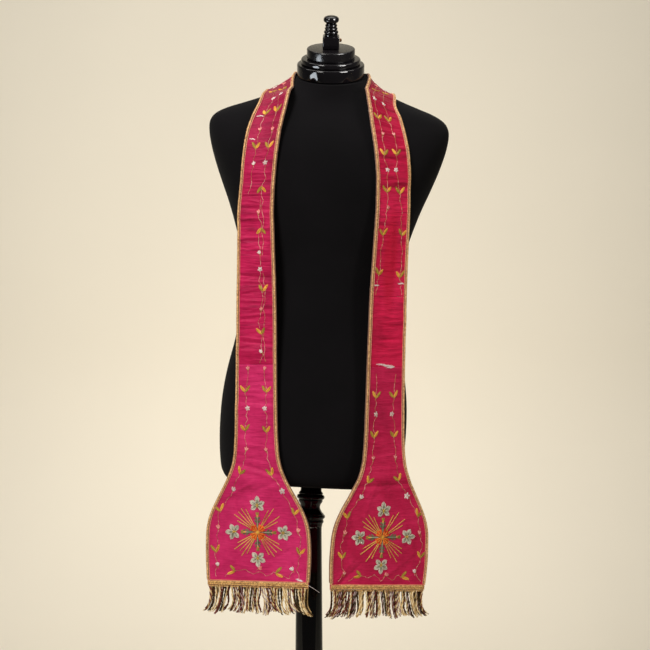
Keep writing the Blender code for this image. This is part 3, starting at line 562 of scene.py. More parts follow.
def finished(piece, slot, *nodes):
    """The last calls on a piece: what it rides on, and the CAD nodes that it stands for, which it hides.
    The slot is not used.
    """
    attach(piece, "root")
    if nodes:
        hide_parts(*nodes)
    return piece


def grid_mesh(name, points, layout):
    """A sheet of quads, rows by columns, with a UV map in metres taken from the layout."""
    rows, columns = points.shape[:2]
    index = np.arange(rows * columns).reshape(rows, columns)
    a, b, c, d = index[:-1, :-1], index[1:, :-1], index[1:, 1:], index[:-1, 1:]
    faces = np.stack([a, b, c, d], axis=-1).reshape(-1, 4)
    mesh = bpy.data.meshes.new(name)
    mesh.from_pydata(points.reshape(-1, 3).tolist(), [], faces.tolist())
    uv = mesh.uv_layers.new(name="cloth")
    flat = layout.reshape(-1, 2)[faces.reshape(-1)]
    uv.data.foreach_set("uv", flat.ravel().astype(np.float32))
    mesh.shade_smooth()
    mesh.update()
    return mesh


def as_plain_mesh(source, name):
    """The evaluated result of an object's modifiers as a new plain mesh. The source is removed."""
    evaluated = source.evaluated_get(bpy.context.evaluated_depsgraph_get())
    mesh = bpy.data.meshes.new_from_object(evaluated)
    mesh.name = name
    old = source.data
    bpy.data.objects.remove(source)
    bpy.data.meshes.remove(old)
    return mesh


# Materials


class Nodes:
    """A small helper that adds nodes to one material and links them."""

    def __init__(self, name, **settings):
        self.material = bpy.data.materials.new(name)
        self.material.use_nodes = True
        self.tree = self.material.node_tree
        self.shader = self.tree.nodes["Principled BSDF"]
        for socket, value in settings.items():
            self.shader.inputs[socket.replace("_", " ")].default_value = value

    def put(self, value, socket):
        """Links an output to the socket, or sets a constant on it."""
        if hasattr(value, "is_output"):
            self.tree.links.new(value, socket)
        else:
            socket.default_value = value

    def add(self, kind, **sockets):
        node = self.tree.nodes.new(kind)
        for socket, value in sockets.items():
            self.put(value, node.inputs[socket.replace("_", " ")])
        return node

    def link(self, output, socket):
        self.tree.links.new(output, self.shader.inputs[socket])

    def where(self, kind="Object", scale=(1, 1, 1), shift=(0, 0, 0)):
        place = self.tree.nodes.new("ShaderNodeTexCoord").outputs[kind]
        return self.add("ShaderNodeMapping", Vector=place, Scale=scale, Location=shift).outputs["Vector"]

    def around(self, centre, reach, kind="Object"):
        """Coordinates about a centre, one unit long at the reach along each axis."""
        return self.where(kind, [1 / r for r in reach], [-c / r for c, r in zip(centre, reach)])

    def noise(self, vector, scale, detail=2.0, roughness=0.5):
        return self.add(
            "ShaderNodeTexNoise", Vector=vector, Scale=scale, Detail=detail, Roughness=roughness
        ).outputs["Fac"]

    def ramp(self, factor, *stops):
        """A colour ramp through (place, colour) stops. A colour may be one grey number."""
        node = self.add("ShaderNodeValToRGB", Fac=factor)
        points = node.color_ramp.elements
        while len(points) < len(stops):
            points.new(0.5)
        for point, (place, colour) in zip(points, stops):
            point.position = place
            shade = colour if isinstance(colour, tuple) else (colour,) * 3
            point.color = (*shade, 1.0)
        return node.outputs["Color"]

    def mix(self, factor, first, second, blend="MIX"):
        node = self.tree.nodes.new("ShaderNodeMix")
        node.data_type = "RGBA"
        node.blend_type = blend
        for socket, value in ((0, factor), (6, first), (7, second)):
            self.put((*value, 1.0) if isinstance(value, tuple) else value, node.inputs[socket])
        return node.outputs[2]

    def math(self, operation, first, second=0.0):
        node = self.tree.nodes.new("ShaderNodeMath")
        node.operation = operation
        for socket, value in zip(node.inputs, (first, second)):
            self.put(value, socket)
        return node.outputs[0]

    def bump(self, height, strength, distance, onto=None):
        node = self.add("ShaderNodeBump", Height=height, Strength=strength, Distance=distance)
        if onto is not None:
            self.tree.links.new(onto, node.inputs["Normal"])
        return node.outputs["Normal"]


def silk_material(name, deep, plain, bright):
    """Plain-woven silk with fine ribs across the band, uneven dye and a soft gloss, with painted shade near
    the nape and painted shade of folds.
    """
    made = Nodes(name, Sheen_Weight=0.02, Sheen_Roughness=0.4, Specular_IOR_Level=0.26)
    made.shader.inputs["Sheen Tint"].default_value = (1.0, 0.35, 0.5, 1.0)
    made.shader.inputs["Specular Tint"].default_value = (1.0, 0.28, 0.46, 1.0)
    cloth = made.where("UV")
    streaks = made.noise(made.where("UV", (38, 760, 1)), 1.0, 3.0, 0.6)
    clouds = made.noise(made.where("UV", (16, 11, 1)), 1.0, 4.0, 0.6)
    rubs = made.noise(made.where("UV", (70, 210, 1)), 1.0, 3.0, 0.6)
    colour = made.ramp(clouds, (0.30, deep), (0.50, plain), (0.72, bright))
    colour = made.mix(0.42, colour, made.ramp(streaks, (0.30, deep), (0.72, bright)))
    colour = made.mix(made.ramp(rubs, (0.56, 0.0), (0.74, 0.55)), colour, deep)
    # A darker copy of the deep shade, used as painted shade
    painted_shade = tuple(0.62 * shade for shade in deep)
    parts = made.add("ShaderNodeSeparateXYZ", Vector=cloth)
    from_nape = made.math("ABSOLUTE", made.math("SUBTRACT", parts.outputs["Y"], NAPE))
    # Towards the nape the silk is darkened: painted shade over the neck and shoulders
    nape_shade = made.ramp(from_nape, (0.16, 0.66), (0.30, 0.34), (0.46, 0.0))
    colour = made.mix(nape_shade, colour, painted_shade)
    # Bands at the folds' scale are darkened towards the painted shade: painted shade of folds, strongest
    # near the nape and fading out towards the hems
    folds = made.noise(made.where("UV", (13, 105, 1)), 1.0, 3.0, 0.6)
    depth = made.ramp(from_nape, (0.20, 1.0), (0.60, 0.55), (0.70, 0.06))
    shadow = made.math("MULTIPLY", made.ramp(folds, (0.50, 0.0), (0.68, 0.9)), depth)
    colour = made.mix(shadow, colour, painted_shade)
    strip = made.add("ShaderNodeTexGradient", Vector=made.around(RED_STRIP, RED_STRIP_REACH, "UV"))
    strip.gradient_type = "SPHERICAL"
    redder = made.ramp(strip.outputs["Fac"], (0.0, 0.0), (0.45, 0.75))
    colour = made.mix(redder, colour, (0.50, 0.006, 0.030))
    weft = made.add("ShaderNodeTexWave", Vector=cloth, Scale=520.0, Distortion=1.2, Detail=1.0)
    weft.bands_direction = "Y"
    warp = made.add("ShaderNodeTexWave", Vector=cloth, Scale=640.0, Distortion=0.6, Detail=1.0)
    warp.bands_direction = "X"
    weave = made.math("ADD", weft.outputs["Fac"], warp.outputs["Fac"])
    made.link(colour, "Base Color")
    made.link(made.ramp(streaks, (0.3, 0.32), (0.7, 0.46)), "Roughness")
    ribs = made.bump(rubs, 0.6, 0.0012, made.bump(streaks, 0.7, 0.0008))
    puckers = made.bump(made.math("MULTIPLY", folds, depth), 0.8, 0.0030, ribs)
    made.link(made.bump(weave, 0.10, 0.00012, puckers), "Normal")
    return made.material


def thread_material(name, shade, light, metallic=0.0, roughness=0.5):
    """Twisted floss, a little uneven along its length."""
    made = Nodes(name, Metallic=metallic, Specular_IOR_Level=0.16)
    tone = made.noise(made.where(), 900.0, 2.0)
    patch = made.noise(made.where(), 60.0, 2.0)
    colour = made.ramp(made.math("ADD", tone, patch), (0.75, shade), (1.2, light))
    made.link(colour, "Base Color")
    made.link(made.ramp(tone, (0.3, roughness - 0.08), (0.7, roughness + 0.1)), "Roughness")
    made.link(made.bump(tone, 0.35, 0.0002), "Normal")
    return made.material


def jersey_material():
    made = Nodes("black_jersey", Sheen_Weight=0.02, Sheen_Roughness=0.6, Specular_IOR_Level=0.06)
    knit = made.add("ShaderNodeTexVoronoi", Vector=made.where("Object", (1, 1, 0.6)), Scale=900.0)
    cloud = made.noise(made.where(), 9.0, 3.0)
    lint = made.noise(made.where(), 420.0, 4.0, 0.7)
    colour = made.mix(
        made.ramp(lint, (0.70, 0.0), (0.80, 0.5)),
        made.ramp(cloud, (0.3, (0.0030, 0.0027, 0.0033)), (0.7, (0.0052, 0.0046, 0.0056))),
        (0.016, 0.015, 0.017),
    )
    made.link(colour, "Base Color")
    made.link(made.ramp(cloud, (0.3, 0.86), (0.7, 0.95)), "Roughness")
    made.link(made.bump(knit.outputs["Distance"], 0.25, 0.0003), "Normal")
    return made.material


def lacquer_material(name, dull_above=None):
    """Black lacquer. With an axis and a level on it, what stands above that level is scuffed dull."""
    made = Nodes(name, Coat_Weight=0.15, Coat_Roughness=0.03, Specular_IOR_Level=0.22)
    cloud = made.noise(made.where(), 16.0, 4.0)
    dust = made.noise(made.where(), 300.0, 4.0, 0.65)
    black = made.ramp(cloud, (0.3, (0.0015, 0.0013, 0.0016)), (0.7, (0.003, 0.0025, 0.003)))
    made.link(black, "Base Color")
    gloss = made.ramp(dust, (0.45, 0.05), (0.75, 0.11))
    if dull_above:
        axis, level = dull_above
        along = made.add("ShaderNodeVectorMath")
        along.operation = "DOT_PRODUCT"
        made.tree.links.new(made.where(), along.inputs[0])
        along.inputs[1].default_value = axis
        above = made.math("GREATER_THAN", along.outputs["Value"], level)
        gloss = made.mix(above, gloss, made.ramp(dust, (0.40, 0.20), (0.75, 0.34)))
    made.link(gloss, "Roughness")
    made.link(made.bump(cloud, 0.05, 0.0015), "Normal")
    return made.material


def brass_material():
    made = Nodes("aged_brass", Metallic=1.0)
    wear = made.noise(made.where(), 500.0, 3.0)
    made.link(made.ramp(wear, (0.35, (0.16, 0.06, 0.03)), (0.65, (0.52, 0.27, 0.13))), "Base Color")
    made.link(made.ramp(wear, (0.35, 0.45), (0.65, 0.28)), "Roughness")
    return made.material


def braid_material(name, dull, gold):
    """Metal thread worked over a cotton core: a fine random mix of two tones, partly its own colour, partly
    painted shade and painted highlights.
    """
    made = Nodes(name, Metallic=0.12, Sheen_Weight=0.15, Sheen_Roughness=0.4)
    fine = made.noise(made.where(), 1300.0, 2.0)
    patch = made.noise(made.where(), 330.0, 3.0, 0.6)
    tone = made.math("MULTIPLY", made.math("ADD", fine, patch), 0.5)
    # The fine random mix stands partly for the thread's own tones and partly for painted shade and painted
    # highlights
    made.link(made.ramp(tone, (0.41, dull), (0.57, gold)), "Base Color")
    made.link(made.ramp(fine, (0.3, 0.42), (0.7, 0.58)), "Roughness")
    made.link(made.bump(fine, 0.5, 0.0003), "Normal")
    return made.material


# A redder strip down the plain middle of the right half, on the silk's own map
RED_STRIP = (0.0, LENGTH - 0.560, 0.0)
RED_STRIP_REACH = (0.016, 0.100, 1.0)
# Columns: deep, plain and bright shade of each silk
SILK = {
    key: silk_material(name, *shades)
    for key, name, *shades in (
        ("left", "magenta_silk", (0.30, 0.005, 0.040), (0.51, 0.009, 0.075), (0.73, 0.024, 0.130)),
        ("left_end", "rose_silk", (0.37, 0.009, 0.066), (0.60, 0.020, 0.122), (0.80, 0.044, 0.200)),
        ("right", "crimson_silk", (0.36, 0.005, 0.032), (0.62, 0.008, 0.057), (0.86, 0.024, 0.110)),
        ("right_end", "cherry_silk", (0.29, 0.005, 0.032), (0.51, 0.010, 0.062), (0.72, 0.026, 0.118)),
    )
}
JERSEY = jersey_material()
LACQUER = lacquer_material("black_lacquer")
BRASS = brass_material()
BRAID = braid_material("tan_gold_braid", (0.38, 0.14, 0.045), (0.99, 0.65, 0.30))
HEM_GOLD = braid_material("olive_gold_braid", (0.30, 0.11, 0.022), (0.99, 0.62, 0.22))
RIBBON = braid_material("brown_ribbon", (0.20, 0.08, 0.05), (0.36, 0.18, 0.10))
FLOSS = {
    key: thread_material(name, *rest)
    for key, name, *rest in (
        ("olive", "olive_floss", (0.20, 0.13, 0.018), (0.47, 0.32, 0.05)),
        ("golden", "golden_floss", (0.56, 0.24, 0.018), (0.95, 0.52, 0.085)),
        ("stem", "brown_stem_floss", (0.22, 0.08, 0.035), (0.56, 0.28, 0.12)),
        ("pale", "pale_stem_floss", (0.60, 0.28, 0.20), (0.86, 0.56, 0.40)),
        ("white", "white_floss", (0.58, 0.46, 0.44), (0.90, 0.80, 0.78)),
        ("bare", "pink_white_backing", (0.92, 0.62, 0.64), (1.0, 0.90, 0.89)),
        ("pink", "salmon_floss", (0.74, 0.13, 0.13), (0.95, 0.34, 0.32)),
        ("orange", "orange_floss", (0.66, 0.035, 0.008), (0.95, 0.17, 0.030)),
        ("silver", "silver_floss", (0.46, 0.43, 0.33), (0.84, 0.79, 0.66), 0.05, 0.45),
        ("edging", "edging_thread", (0.56, 0.52, 0.44), (0.90, 0.85, 0.76), 0.10, 0.42),
        ("sage", "sage_floss", (0.070, 0.080, 0.040), (0.20, 0.21, 0.11)),
        ("maroon", "maroon_floss", (0.10, 0.008, 0.012), (0.26, 0.020, 0.020)),
        ("gilt", "gilt_thread", (0.56, 0.27, 0.030), (0.95, 0.60, 0.14), 0.10, 0.42),
        ("core", "orange_core_thread", (0.58, 0.12, 0.07), (0.86, 0.31, 0.19)),
    )
}


# Silk


def give_wall(sheet, thickness, offset):
    """Turns a sheet into a wall, grown to the side that the offset says."""
    wall = sheet.modifiers.new("wall", "SOLIDIFY")
    wall.thickness = thickness
    wall.offset = offset
    wall.use_even_offset = False


def silk_piece(name, start, end, steps, finish):
    """One piece of the silk ground between two places along the stole, as a creased 2 mm wall."""
    count = max(3, round((end - start) / steps[0]))
    s = np.linspace(start, end, count + 1)
    half = half_width(s)
    columns = int(2 * half.max() / steps[1])
    share = np.linspace(-1, 1, columns + 1)
    v = half[:, None] * share
    along = np.repeat(s[:, None], columns + 1, axis=1)
    mesh = grid_mesh(name, face(along, v), np.stack([v, along], axis=-1))
    made = new_object(name + "_silk", mesh, finish)
    give_wall(made, CLOTH, 1.0 if faces_backward(mesh) else -1.0)
    flat = (2 * float(half.max()), end - start)
    area = float(np.sum((half[1:] + half[:-1]) * np.diff(s)))
    return made, flat, min(area, flat[0] * flat[1])


def faces_backward(mesh):
    """Whether the sheet's faces point at the torso rather than away from it."""
    middle = mesh.polygons[len(mesh.polygons) // 2]
    place, _, _, _ = SKIN.find_nearest(middle.center)
    return (middle.center - place).dot(middle.normal) < 0


def make_silk():
    half_gap = SEAM_GAP / 2
    left_low, left_high = LEFT_SEAMS
    right_low, right_high = (LENGTH - distance for distance in RIGHT_SEAMS)
    # Columns: node, start, end, grid steps, material, how it is held
    pieces = [
        ("left_end", 0, left_low - half_gap, END_STEPS, SILK["left_end"], "hung"),
        ("left_middle", left_low + half_gap, left_high - half_gap, BAND_STEPS, SILK["left"], "hung"),
        ("left_upper", left_high + half_gap, NAPE - half_gap, BAND_STEPS, SILK["left"], "draped"),
        ("right_upper", NAPE + half_gap, right_high - half_gap, BAND_STEPS, SILK["right"], "draped"),
        ("right_middle", right_high + half_gap, right_low - half_gap, BAND_STEPS, SILK["right"], "hung"),
        ("right_end", right_low + half_gap, LENGTH, END_STEPS, SILK["right_end"], "hung"),
    ]
    for node, start, end, steps, finish, held in pieces:
        made, flat, area = silk_piece(node, start, end, steps, finish)
        finished(made, "silk", node)


# Threads: every stitch, stem, ray, braid strand and fringe ply is a line that a tree gives a round body


def thread_tree():
    """The tree that turns lines into round threads, and the keys of its inputs."""
    tree = bpy.data.node_groups.new("round_thread", "GeometryNodeTree")
    keys = {}
    for name, kind in (
        ("Lines", "NodeSocketGeometry"),
        ("Radius", "NodeSocketFloat"),
        ("Sides", "NodeSocketInt"),
        ("Finish", "NodeSocketMaterial"),
    ):
        socket = tree.interface.new_socket(name, in_out="INPUT", socket_type=kind)
        keys[name.lower()] = socket.identifier
    tree.interface.new_socket("Threads", in_out="OUTPUT", socket_type="NodeSocketGeometry")
    new = tree.nodes.new
    start, end = new("NodeGroupInput"), new("NodeGroupOutput")
    curve = new("GeometryNodeMeshToCurve")
    thickness = new("GeometryNodeInputNamedAttribute")
    thickness.data_type = "FLOAT"
    thickness.inputs["Name"].default_value = "thickness"
    spread = new("ShaderNodeMath")
    spread.operation = "MULTIPLY"
    body = new("GeometryNodeSetCurveRadius")
    ring = new("GeometryNodeCurvePrimitiveCircle")
    ring.inputs["Radius"].default_value = 1.0
    sweep = new("GeometryNodeCurveToMesh")
    sweep.inputs["Fill Caps"].default_value = True
    even = new("GeometryNodeSetShadeSmooth")
    real = new("GeometryNodeRealizeInstances")
    paint = new("GeometryNodeSetMaterial")
    for source, output, target, socket in (
        (start, "Lines", curve, "Mesh"),
        (start, "Radius", spread, 0),
        (thickness, "Attribute", spread, 1),
        (curve, "Curve", body, "Curve"),
        (spread, 0, body, "Radius"),
        (start, "Sides", ring, "Resolution"),
        (body, "Curve", sweep, "Curve"),
        (ring, "Curve", sweep, "Profile Curve"),
        (spread, 0, sweep, "Scale"),
        (sweep, "Mesh", even, "Geometry"),
        (even, "Geometry", real, "Geometry"),
        (real, "Geometry", paint, "Geometry"),
        (start, "Finish", paint, "Material"),
        (paint, "Geometry", end, "Threads"),
    ):
        if socket != "Scale" or "Scale" in sweep.inputs:
            tree.links.new(source.outputs[output], target.inputs[socket])
    return tree, keys


THREAD_TREE, THREAD_INPUTS = thread_tree()


def threads(name, lines, radius, finish, sides=4):
    """One mesh of round threads along the lines, which are (points, thickness) pairs."""
    points, edges, thick = [], [], []
    for line, share in lines:
        first = len(points)
        points += [tuple(p) for p in line]
        edges += [(first + k, first + k + 1) for k in range(len(line) - 1)]
        thick += list(np.broadcast_to(share, len(line)))
    guide = bpy.data.meshes.new(name + "_lines")
    guide.from_pydata(points, edges, [])
    layer = guide.attributes.new("thickness", "FLOAT", "POINT")
    layer.data.foreach_set("value", np.array(thick, dtype=np.float32))
    source = bpy.data.objects.new(name + "_source", guide)
    bpy.context.scene.collection.objects.link(source)
    body = source.modifiers.new("threads", "NODES")
    body.node_group = THREAD_TREE
    body[THREAD_INPUTS["radius"]] = radius
    body[THREAD_INPUTS["sides"]] = sides
    body[THREAD_INPUTS["finish"]] = finish
    mesh = as_plain_mesh(source, name)
    if "thickness" in mesh.attributes:
        mesh.attributes.remove(mesh.attributes["thickness"])
    return new_object(name, mesh, finish)


# Embroidery, in millimetres on each half's own flat cut: distance from the hem, and across.
# On both halves a positive across is the outer edge.


# The lily's petals. Columns: swing off the flower's axis in degrees, length.
LILY_PETALS = ((-128, 13.4), (128, 13.0), (-64, 14.0), (64, 14.2), (0, 15.4))
# The red-orange leaves between two arms of the cross, and the rays behind them. Columns: the same.
HEART_LEAVES = ((-24, 13.6), (24, 13.8), (0, 15.2))
RAYS = ((-17.5, 42.0), (-9.5, 49.0), (0.0, 46.0), (9.5, 50.0), (17.5, 41.0))
# The small leaves on an arm of the cross. Columns: distance from the heart, reach aside, and ahead.
ARM_LEAVES = ((15.0, 5.6, 6.0), (21.5, 4.6, 4.0))
# How far a stem's stitches lie off its line in turn, and how many of them are pale
STEM_WAVER = 0.16
PALE_SHARE = 0.42


def ray_at(degrees):
    """The unit direction at that angle, as (along the stole, across)."""
    return np.array([math.cos(math.radians(degrees)), math.sin(math.radians(degrees))])


def beside(ray):
    """The direction a quarter turn from a ray."""
    return np.array([-ray[1], ray[0]])


class Work:
    """The embroidery of one half: lists of stitches for each colour of floss."""

    def __init__(self, half, seed):
        self.half = half
        self.draw = random.Random(seed)
        self.stitches = {colour: [] for colour in FLOSS}

    def line(self, colour, points, lift=0.25, thickness=1.0):
        """A thread through (distance from the hem, across) points, lifted off the silk."""
        self.stitches[colour].append((np.array(points, float), lift, thickness))

    def straight(self, colour, centre, ray, start, end, lift, thickness):
        """A straight thread along a ray, from one distance off the centre to another."""
        self.line(colour, [centre + start * ray, centre + end * ray], lift, thickness)

    def satin(self, colour, root, tip, width, pitch=0.62, lift=0.35, full=0.75):
        """A satin-stitched leaf or petal from its root to its tip: slanted stitches off a midrib."""
        root, tip = np.array(root, float), np.array(tip, float)
        run = tip - root
        length = np.linalg.norm(run)
        side = beside(run / length)
        count = max(4, round(length / pitch))
        for k in range(count):
            t = (k + 0.5) / count
            half = width / 2 * math.sin(math.pi * t**full) ** 0.7 * self.draw.uniform(0.9, 1.08)
            for turn in (-1, 1):
                start = root + run * max(0, t - 0.12)
                end = root + run * min(1, t + 0.10) + side * turn * half
                middle = (start + end) / 2
                rise = lift * (0.5 + 0.5 * half / (width / 2))
                self.line(colour, [start, middle, end], [lift * 0.8, rise, 0.05], 1.0)

    def stem(self, points, colour="stem", reach=3.4, thickness=1.1):
        """A stem of short stitches laid end to end along a smooth line."""
        points = np.array(points, float)
        step = np.linalg.norm(np.diff(points, axis=0), axis=1)
        knots = np.concatenate([[0], np.cumsum(step)])
        count = max(1, round(knots[-1] / reach))
        ends = smooth(knots, points, np.linspace(0, knots[-1], count + 1))
        for k in range(count):
            a, b = ends[k], ends[k + 1]
            waver = STEM_WAVER if k % 2 else -STEM_WAVER
            shift = beside(b - a) / max(1e-6, np.linalg.norm(b - a)) * waver
            shade = "pale" if self.draw.random() < PALE_SHARE else colour
            self.line(shade, [a + shift, (a + b) / 2, b - shift], [0.05, 0.3, 0.05], thickness)

    def leaves(self, hem, across, turn=0, size=9.0, first="olive", second="golden", open_by=34):
        """A pair of leaves that spring from one point, one olive and one golden, each shaded in two."""
        root = np.array([hem, across], float)
        for colour, side in ((first, -1), (second, 1)):
            ray = ray_at(turn + side * open_by + self.draw.uniform(-7, 7))
            length = size * self.draw.uniform(0.9, 1.14)
            self.satin(colour, root + 0.6 * ray, root + length * ray, 0.36 * size, 0.6)
            shade = "golden" if colour == "olive" else "olive"
            low = root + 0.12 * length * ray
            self.line(shade, [low, root + 0.85 * length * ray], [0.65, 0.5], 0.9)
            self.line("stem", [root - 1.6 * ray, low], [0.2, 0.4], 1.2)

    def bud(self, hem, across, colour, turn, size):
        """A small bud of three uneven petals on a short stalk with a pair of sepals."""
        root = np.array([hem, across], float)
        shade = "pink" if colour == "white" else "white"
        for spread in (-27, 0, 27):
            ray = ray_at(turn + spread + self.draw.uniform(-8, 8))
            far = size * (1.0 if spread == 0 else 0.9) * self.draw.uniform(0.85, 1.08)
            self.satin(colour, root, root + far * ray, 0.42 * size, 0.55)
            if spread:
                self.straight(shade, root, ray, 0.3 * far, 0.8 * far, [0.6, 0.45], 0.8)
        ahead = ray_at(turn)
        for spread in (-70, 70):
            self.line("olive", [root - 0.6 * ahead, root + 2.0 * ray_at(turn + spread)], [0.5, 0.3], 1.2)
        self.stem([root - 4.2 * ahead, root], "olive", 2.1, 1.0)

    def blossom(self, hem, across, colour, turn, size):
        """A small open flower of five petals, with a coloured heart."""
        centre = np.array([hem, across], float)
        for k in range(5):
            ray = ray_at(turn + 72 * k)
            far = size * self.draw.uniform(0.8, 1.1)
            self.satin(colour, centre + 0.5 * ray, centre + far * ray, 0.62 * size, 0.6)
            if k % 2:
                self.straight("pink", centre, ray, 0.8, 0.7 * far, 0.6, 0.8)
        self.line("golden", [centre + (0.5, 0), centre - (0.5, 0)], 0.75, 1.3)

    def lily(self, hem, across, turn):
        """A silver flower of five broad pointed petals, edged with white, over an olive-gold heart."""
        centre = np.array([hem, across], float)
        for k, (swing, far) in enumerate(LILY_PETALS):
            ray = ray_at(turn + swing + self.draw.uniform(-4, 4))
            side = beside(ray)
            tip = centre + (far - 1.0) * ray
            self.satin("silver", centre + 1.6 * ray, tip, 7.6, 0.62, 0.40 + 0.04 * k, 1.08)
            for flank in (-1, 1):
                # Columns: along the petal, and off its middle
                shape = ((2.4, 1.0), (0.38 * far, 2.9), (0.66 * far, 3.9), (0.87 * far, 1.9), (far, 0.0))
                outline = [centre + along * ray + flank * off * side for along, off in shape]
                outline = smooth(range(5), outline, np.linspace(0, 4, 10))
                self.line("edging", outline, 0.62 + 0.04 * k, 1.15)
                vein = [centre + 2.0 * ray, centre + 0.52 * far * ray + flank * 1.8 * side]
                self.line("sage", vein, 0.85 + 0.04 * k, 0.85)
            self.straight("sage", centre, ray, 1.0, 0.68 * far, 0.9 + 0.04 * k, 1.15)
        for swing in (-96, 96, -32, 32, 180):
            ray = ray_at(turn + swing)
            self.straight("sage", centre, ray, 1.2, 7.4, 0.75, 1.0)
            self.straight("gilt", centre, ray, -0.6, 3.6, [1.3, 0.95], 1.3)
        ray = ray_at(turn)
        self.satin("olive", centre - 4.6 * ray, centre + 3.6 * ray, 3.0, 0.6, 1.05)

    def arm(self, centre, ray, far):
        """One leafy stem of the cross, from the heart to its lily."""
        side = beside(ray)
        for shift in (-1.5, -0.5, 0.5, 1.5):
            steps = np.linspace(4, far - 13, 6)
            line = [centre + t * ray + shift * (1.25 - 0.02 * t) * side for t in steps]
            self.line("sage", line, [0.3, 0.5, 0.5, 0.5, 0.5, 0.2], 1.5)
        for flank in (-1, 1):
            for base, out, reach in ARM_LEAVES:
                root = centre + base * ray
                self.satin("sage", root, root + reach * ray + flank * out * side, 3.0, 0.7)
        self.straight("silver", centre, ray, 8, far - 20, 0.95, 0.9)
        middle = centre + (far - 17) * ray
        for flank in (-1, 1):
            tip = middle + 5.0 * ray + flank * 2.0 * side
            self.satin("olive", middle - 2.0 * ray, tip, 3.0, 0.6, 0.5)
        self.satin("golden", middle - 5.0 * ray, middle + 1.5 * ray, 3.4, 0.6, 0.75)

    def quarter(self, centre, middle):
        """The rays and the red-orange block between two arms of the cross."""
        for swing, far in HEART_LEAVES:
            along = ray_at(middle + swing + self.draw.uniform(-3, 3))
            self.satin("orange", centre + 3.4 * along, centre + far * along, 5.4, 0.5, 0.85, 1.1)
            self.straight("golden", centre, along, 5.4, 0.72 * far, [1.5, 1.3], 1.4)
        for swing in (-12, 12):
            self.straight("maroon", centre, ray_at(middle + swing), 6.0, 12.4, [0.9, 0.7], 0.7)
        for spread, far in RAYS:
            along = ray_at(middle + spread)
            across = beside(along)
            far = far * self.draw.uniform(0.95, 1.04)
            if spread == 0.0 and self.draw.random() < 0.5:
                continue
            for shift in (-0.34, 0.34):
                steps = np.linspace(13.0, far, 9)
                self.line("gilt", [centre + t * along + shift * across for t in steps], 0.35, 1.25)
            for t in np.arange(16.0, far, 5.4):
                self.straight("stem", centre + t * along, across, -0.8, 0.8, 0.7, 0.8)

    def cross(self, hem, across, reach):
        """A cross of four leafy stems with a lily at each end, rays between, and a golden heart."""
        centre = np.array([hem, across], float)
        for k, far in enumerate(reach):
            ray = ray_at(90 * k)
            self.arm(centre, ray, far)
            self.lily(*(centre + far * ray), 90 * k)
            self.quarter(centre, 45 + 90 * k)
        for k in range(6):
            self.straight("golden", centre, ray_at(30 * k), -4.2, 4.2, 1.35, 1.6)


def vine(work, rows, side_of):
    """A stem through the rows of motifs, swinging a little from side to side between them."""
    points = []
    for (hem, across), (next_hem, next_across) in zip(rows[:-1], rows[1:]):
        for t in (0.0, 0.33, 0.66):
            swing = 1.7 * math.sin(2 * math.pi * t + hem) * side_of
            points.append((hem + (next_hem - hem) * t, across + (next_across - across) * t + swing))
    points.append(rows[-1])
    work.stem(points)


def motifs(work, rows, leaf, open_by, bud, blossom, swing, olive_first):
    """The leaves, buds and blossoms of one table, in the sizes that its place has."""
    for kind, hem, across, turn, colour in rows:
        if kind == "leaves":
            first, second = ("olive", "golden") if colour == olive_first else ("golden", "olive")
            work.leaves(hem, across, turn, leaf, first, second, open_by)
        elif kind == "bud":
            work.bud(hem, across, colour, turn, bud)
        else:
            work.blossom(hem, across, colour, turn + swing, blossom)


# Motifs of the spade ends, which run up each side and along the hem.
# Columns: kind, distance from the hem, across, turn in degrees, colour (or which leaf is olive)
LEFT_END = [
    ("leaves", 24, 40, 78, 1), ("bud", 29, -1, -60, "pink"), ("leaves", 22, -31, -80, 0),
    ("bud", 32, 71, 8, "white"), ("bud", 28, -62, 30, "white"), ("leaves", 55, 74, 10, 0),
    ("leaves", 55, -73, -12, 0), ("bud", 95, 70, 8, "pink"), ("bud", 93, -71, -6, "pink"),
    ("leaves", 124, 66, 14, 0), ("leaves", 122, -65, -16, 0), ("bud", 160, 43, -30, "white"),
    ("blossom", 162, -45, 10, "white"), ("leaves", 188, 29, -20, 1), ("leaves", 187, -27, 18, 0),
]
RIGHT_END = [
    ("leaves", 23, -33, -74, 0), ("bud", 24, 12, 50, "pink"), ("leaves", 21, 44, 76, 1),
    ("bud", 25, -64, 12, "pink"), ("bud", 28, 69, -10, "white"), ("leaves", 53, -70, -10, 0),
    ("leaves", 53, 79, 6, 0), ("bud", 95, -68, 8, "pink"), ("bud", 93, 74, -6, "pink"),
    ("leaves", 122, -64, -14, 0), ("leaves", 122, 69, 14, 0), ("bud", 156, -42, 30, "white"),
    ("blossom", 158, 46, 14, "white"), ("leaves", 182, -30, 20, 0), ("leaves", 184, 28, -20, 1),
]

